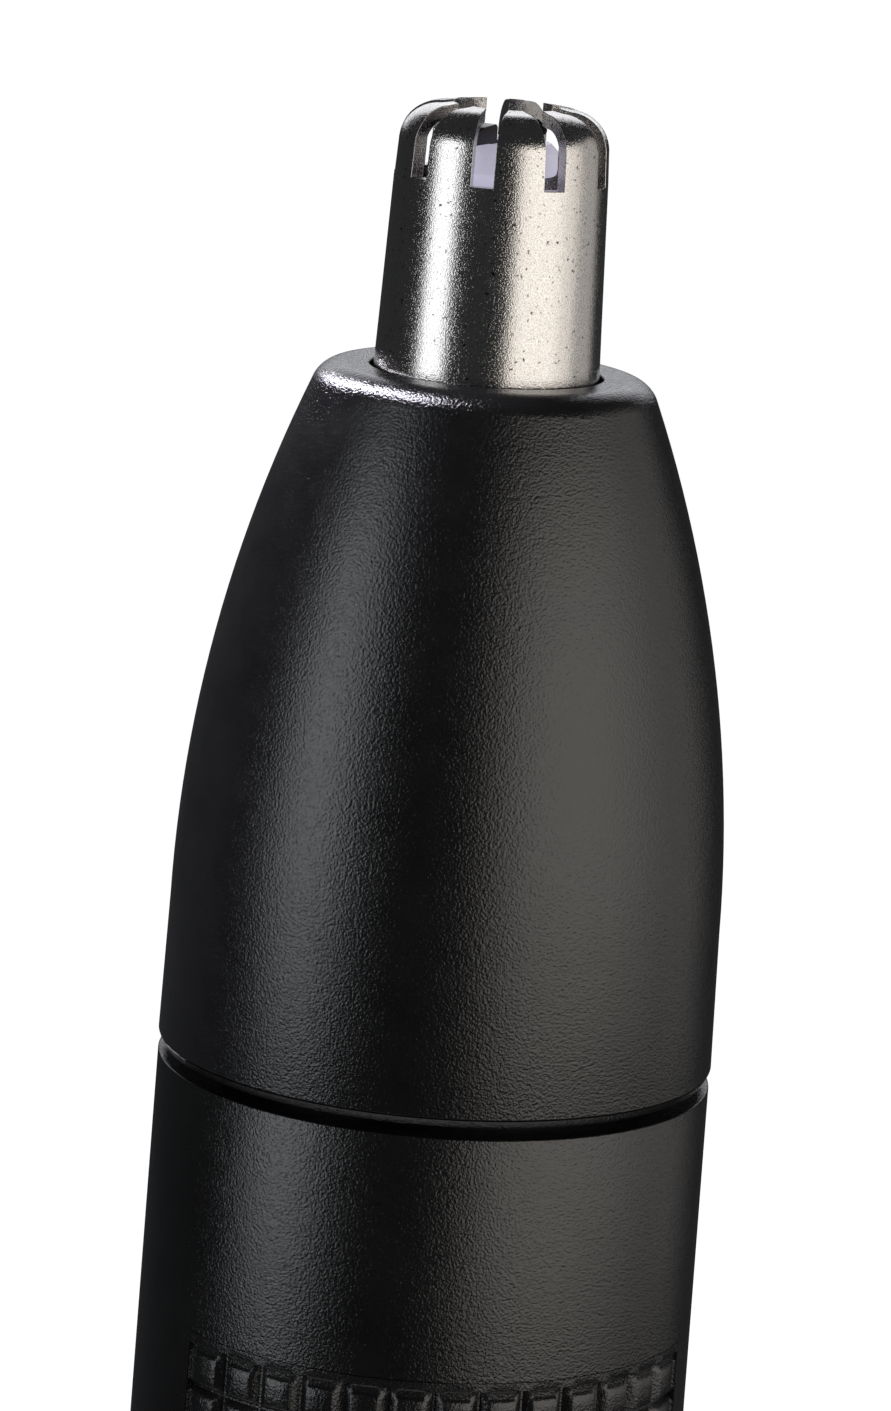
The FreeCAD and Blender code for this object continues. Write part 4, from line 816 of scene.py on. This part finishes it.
def grip_panel():
    """Curved plate with a grid of raised pads, and a window for the switch."""
    closer = PANEL_SEAM - VISIBLE_SEAM
    low, high = PANEL_FOOT / MM - closer, PANEL_TOP / MM + closer
    half_turn = PANEL_HALF_ANGLE - math.degrees(VISIBLE_SEAM / SHELL_RADIUS)
    arc = math.radians(1) * SHELL_RADIUS
    half_grid = PAD_COLUMNS * PAD_ANGLE / 2
    upright_lines = grid_lines(-half_grid * arc, PAD_ANGLE * arc, PAD_COLUMNS, UPRIGHT_GROOVE,
                               -half_turn * arc, half_turn * arc)
    columns = [(place / arc, depth) for place, depth in upright_lines]
    columns = sorted(set((min(max(place, -half_turn), half_turn), depth) for place, depth in columns))
    grid_foot = high + VISIBLE_SEAM - GRID_MARGIN - PAD_ROWS * PAD_PITCH
    grid_top = grid_foot + PAD_ROWS * PAD_PITCH
    rows = grid_lines(grid_foot, PAD_PITCH, PAD_ROWS, LEVEL_GROOVE, low, high)

    points, faces = [], []
    for height, row_depth in rows:
        in_grid = grid_foot - RIM_REACH < height < grid_top + RIM_REACH
        for angle, column_depth in columns:
            depth = max(row_depth, column_depth if in_grid else 0.0)
            if abs(angle) > half_grid + math.degrees(RIM_REACH / SHELL_RADIUS):
                depth = 0.0
            radius = (shell_radius(height * MM) - depth) * MM
            points.append(on_circle(radius, FRONT + math.radians(angle), height * MM))
    for height, _ in rows:
        for angle, _ in columns:
            points.append(on_circle(PANEL_RECESS * MM, FRONT + math.radians(angle), height * MM))
    wide, tall = len(columns), len(rows)

    def at(skin, row, column):
        return (skin * tall + row) * wide + column

    for skin in (0, 1):
        for row in range(tall - 1):
            for column in range(wide - 1):
                faces.append((at(skin, row, column), at(skin, row, column + 1),
                              at(skin, row + 1, column + 1), at(skin, row + 1, column)))
    for row in range(tall - 1):
        for column in (0, wide - 1):
            faces.append((at(0, row, column), at(0, row + 1, column),
                          at(1, row + 1, column), at(1, row, column)))
    for column in range(wide - 1):
        for row in (0, tall - 1):
            faces.append((at(0, row, column), at(0, row, column + 1),
                          at(1, row, column + 1), at(1, row, column)))
    panel = mesh_piece("grip_panel_pads", points, faces)
    window_low, window_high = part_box("switch_bezel")
    gap = 0.04 * MM
    cut(panel, box_tool((window_low.x - gap, -20 * MM, window_low.z - gap),
                        (window_high.x + gap, 0, window_high.z + gap)))
    return dress(panel, "grip_panel")


# ---- the switch ------------------------------------------------------------

def window_tool(half, foot, top, corner):
    """A block across the front wall, with rounded corners, for cutting; sizes in millimetres."""
    spots = [Vector(spot) for spot in ((-half, foot), (half, foot), (half, top), (-half, top))]
    outline = []
    for index, spot in enumerate(spots):
        outline += rounded_corner(spots[index - 1], spot, spots[(index + 1) % 4], corner, 6)
    outside, inside = -14, -5
    points = [Vector((spot.x, depth, spot.y)) * MM for depth in (outside, inside) for spot in outline]
    return mesh_piece("tool", points, prism_faces(len(outline)))


def switch_slider():
    """Thumb slider that follows the round wall, with five finger grooves and a stem to the contact."""
    foot, middle, top = 53.5, 60.0, 66.5
    seat, crown, groove_floor = 10.82, 12.45, 12.0
    grooves, groove_pitch, groove_half = 5, 1.8, 0.63
    corners = [(seat, foot), (crown, foot)]
    for index in range(grooves):
        groove = middle + (index - grooves // 2) * groove_pitch
        corners += [(crown, groove - groove_half, 0.08), (groove_floor, groove, 0.1),
                    (crown, groove + groove_half, 0.08)]
    corners += [(crown, top), (seat, top)]
    slider = lathe("switch_slider_body", profile(corners), 2 * COLUMNS)
    cut(slider, window_tool(4.5, foot, top, 2.0), "INTERSECT")
    # the stem, which reaches through the shell
    cut(slider, box_tool((-2.5 * MM, -11.12 * MM, 58 * MM), (2.5 * MM, -8.9 * MM, 62 * MM)), "UNION")
    bevel(slider, 0.15, 50, segments=3)
    return dress(slider, "switch_slider")


def switch_bezel():
    """Frame flush with the handle's wall round the slider's window."""
    foot, top, half, corner = 52.14, 71.86, 5.86, 0.3
    window_foot, window_top, window_half, window_corner = 53.3, 70.7, 4.7, 0.6
    line = profile([
        (PANEL_RECESS, foot), (shell_radius(foot * MM), foot), (shell_radius(top * MM), top),
        (PANEL_RECESS, top),
    ])
    bezel = lathe("switch_bezel_frame", line, 2 * COLUMNS)
    cut(bezel, window_tool(half, foot, top, corner), "INTERSECT")
    cut(bezel, window_tool(window_half, window_foot, window_top, window_corner))
    bevel(bezel, 0.08, 50)
    return dress(bezel, "switch_bezel")


# ---- the end cap -----------------------------------------------------------

def end_cap():
    """Turned cap with a rounded foot, a coin slot, a spigot with a seal groove and two bayonet lugs."""
    lug_foot, lug_top, lug_radius = 19.8, 21.8, 10.65
    line = profile([
        (0, 0), (9.4, 0), ("via", 11.104, 0.696), (11.795, 2.4), (12.078, 17.75, 0.1),
        (11.833, 18.0, 0.05), (9.75, 18.0, 0.1), (9.75, lug_foot), (9.75, lug_top), (9.75, 22.9, 0.1),
        (8.9, 22.9, 0.1), (8.9, 23.9, 0.1), (9.75, 23.9, 0.1), (9.75, 24.7), (9.45, 25.0),
        (8.45, 25.0, 0.1), (8.45, 2.0, 0.4), (0, 2.0),
    ])
    cap = lathe("end_cap_body", line)
    for start in LUG_STARTS:
        push_patch(cap, lug_foot * MM, lug_top * MM, start, start + LUG_WIDTH, lug_radius)
    coin_reach, coin_half, coin_depth = 5.5 * MM, 0.9 * MM, 1.1 * MM
    cut(cap, box_tool((-coin_reach, -coin_half, -MM), (coin_reach, coin_half, coin_depth)))
    bevel(cap, 0.1, 60)
    return dress(cap, "end_cap")


# ---- assembly --------------------------------------------------------------

BODY_OF = {name: piece["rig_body"] for name, piece in frame["nodes"].items()}
SLOT_OF = {part["node"]: part["material_slot"] for part in frame["record"]["subparts"]}
MATERIALS = make_materials()

for name, piece in frame["nodes"].items():
    piece.data.materials.clear()
    piece.data.materials.append(MATERIALS[SLOT_OF[name]])
    smooth(piece)

place_camera()
place_floor()
cover = head_cover()
guard_tip()
cutter_shaft()
cutter_blade()
cutter_spring()
handle_shell()
grip_panel()
switch_bezel()
switch_slider()
end_cap()
place_lights(cover)
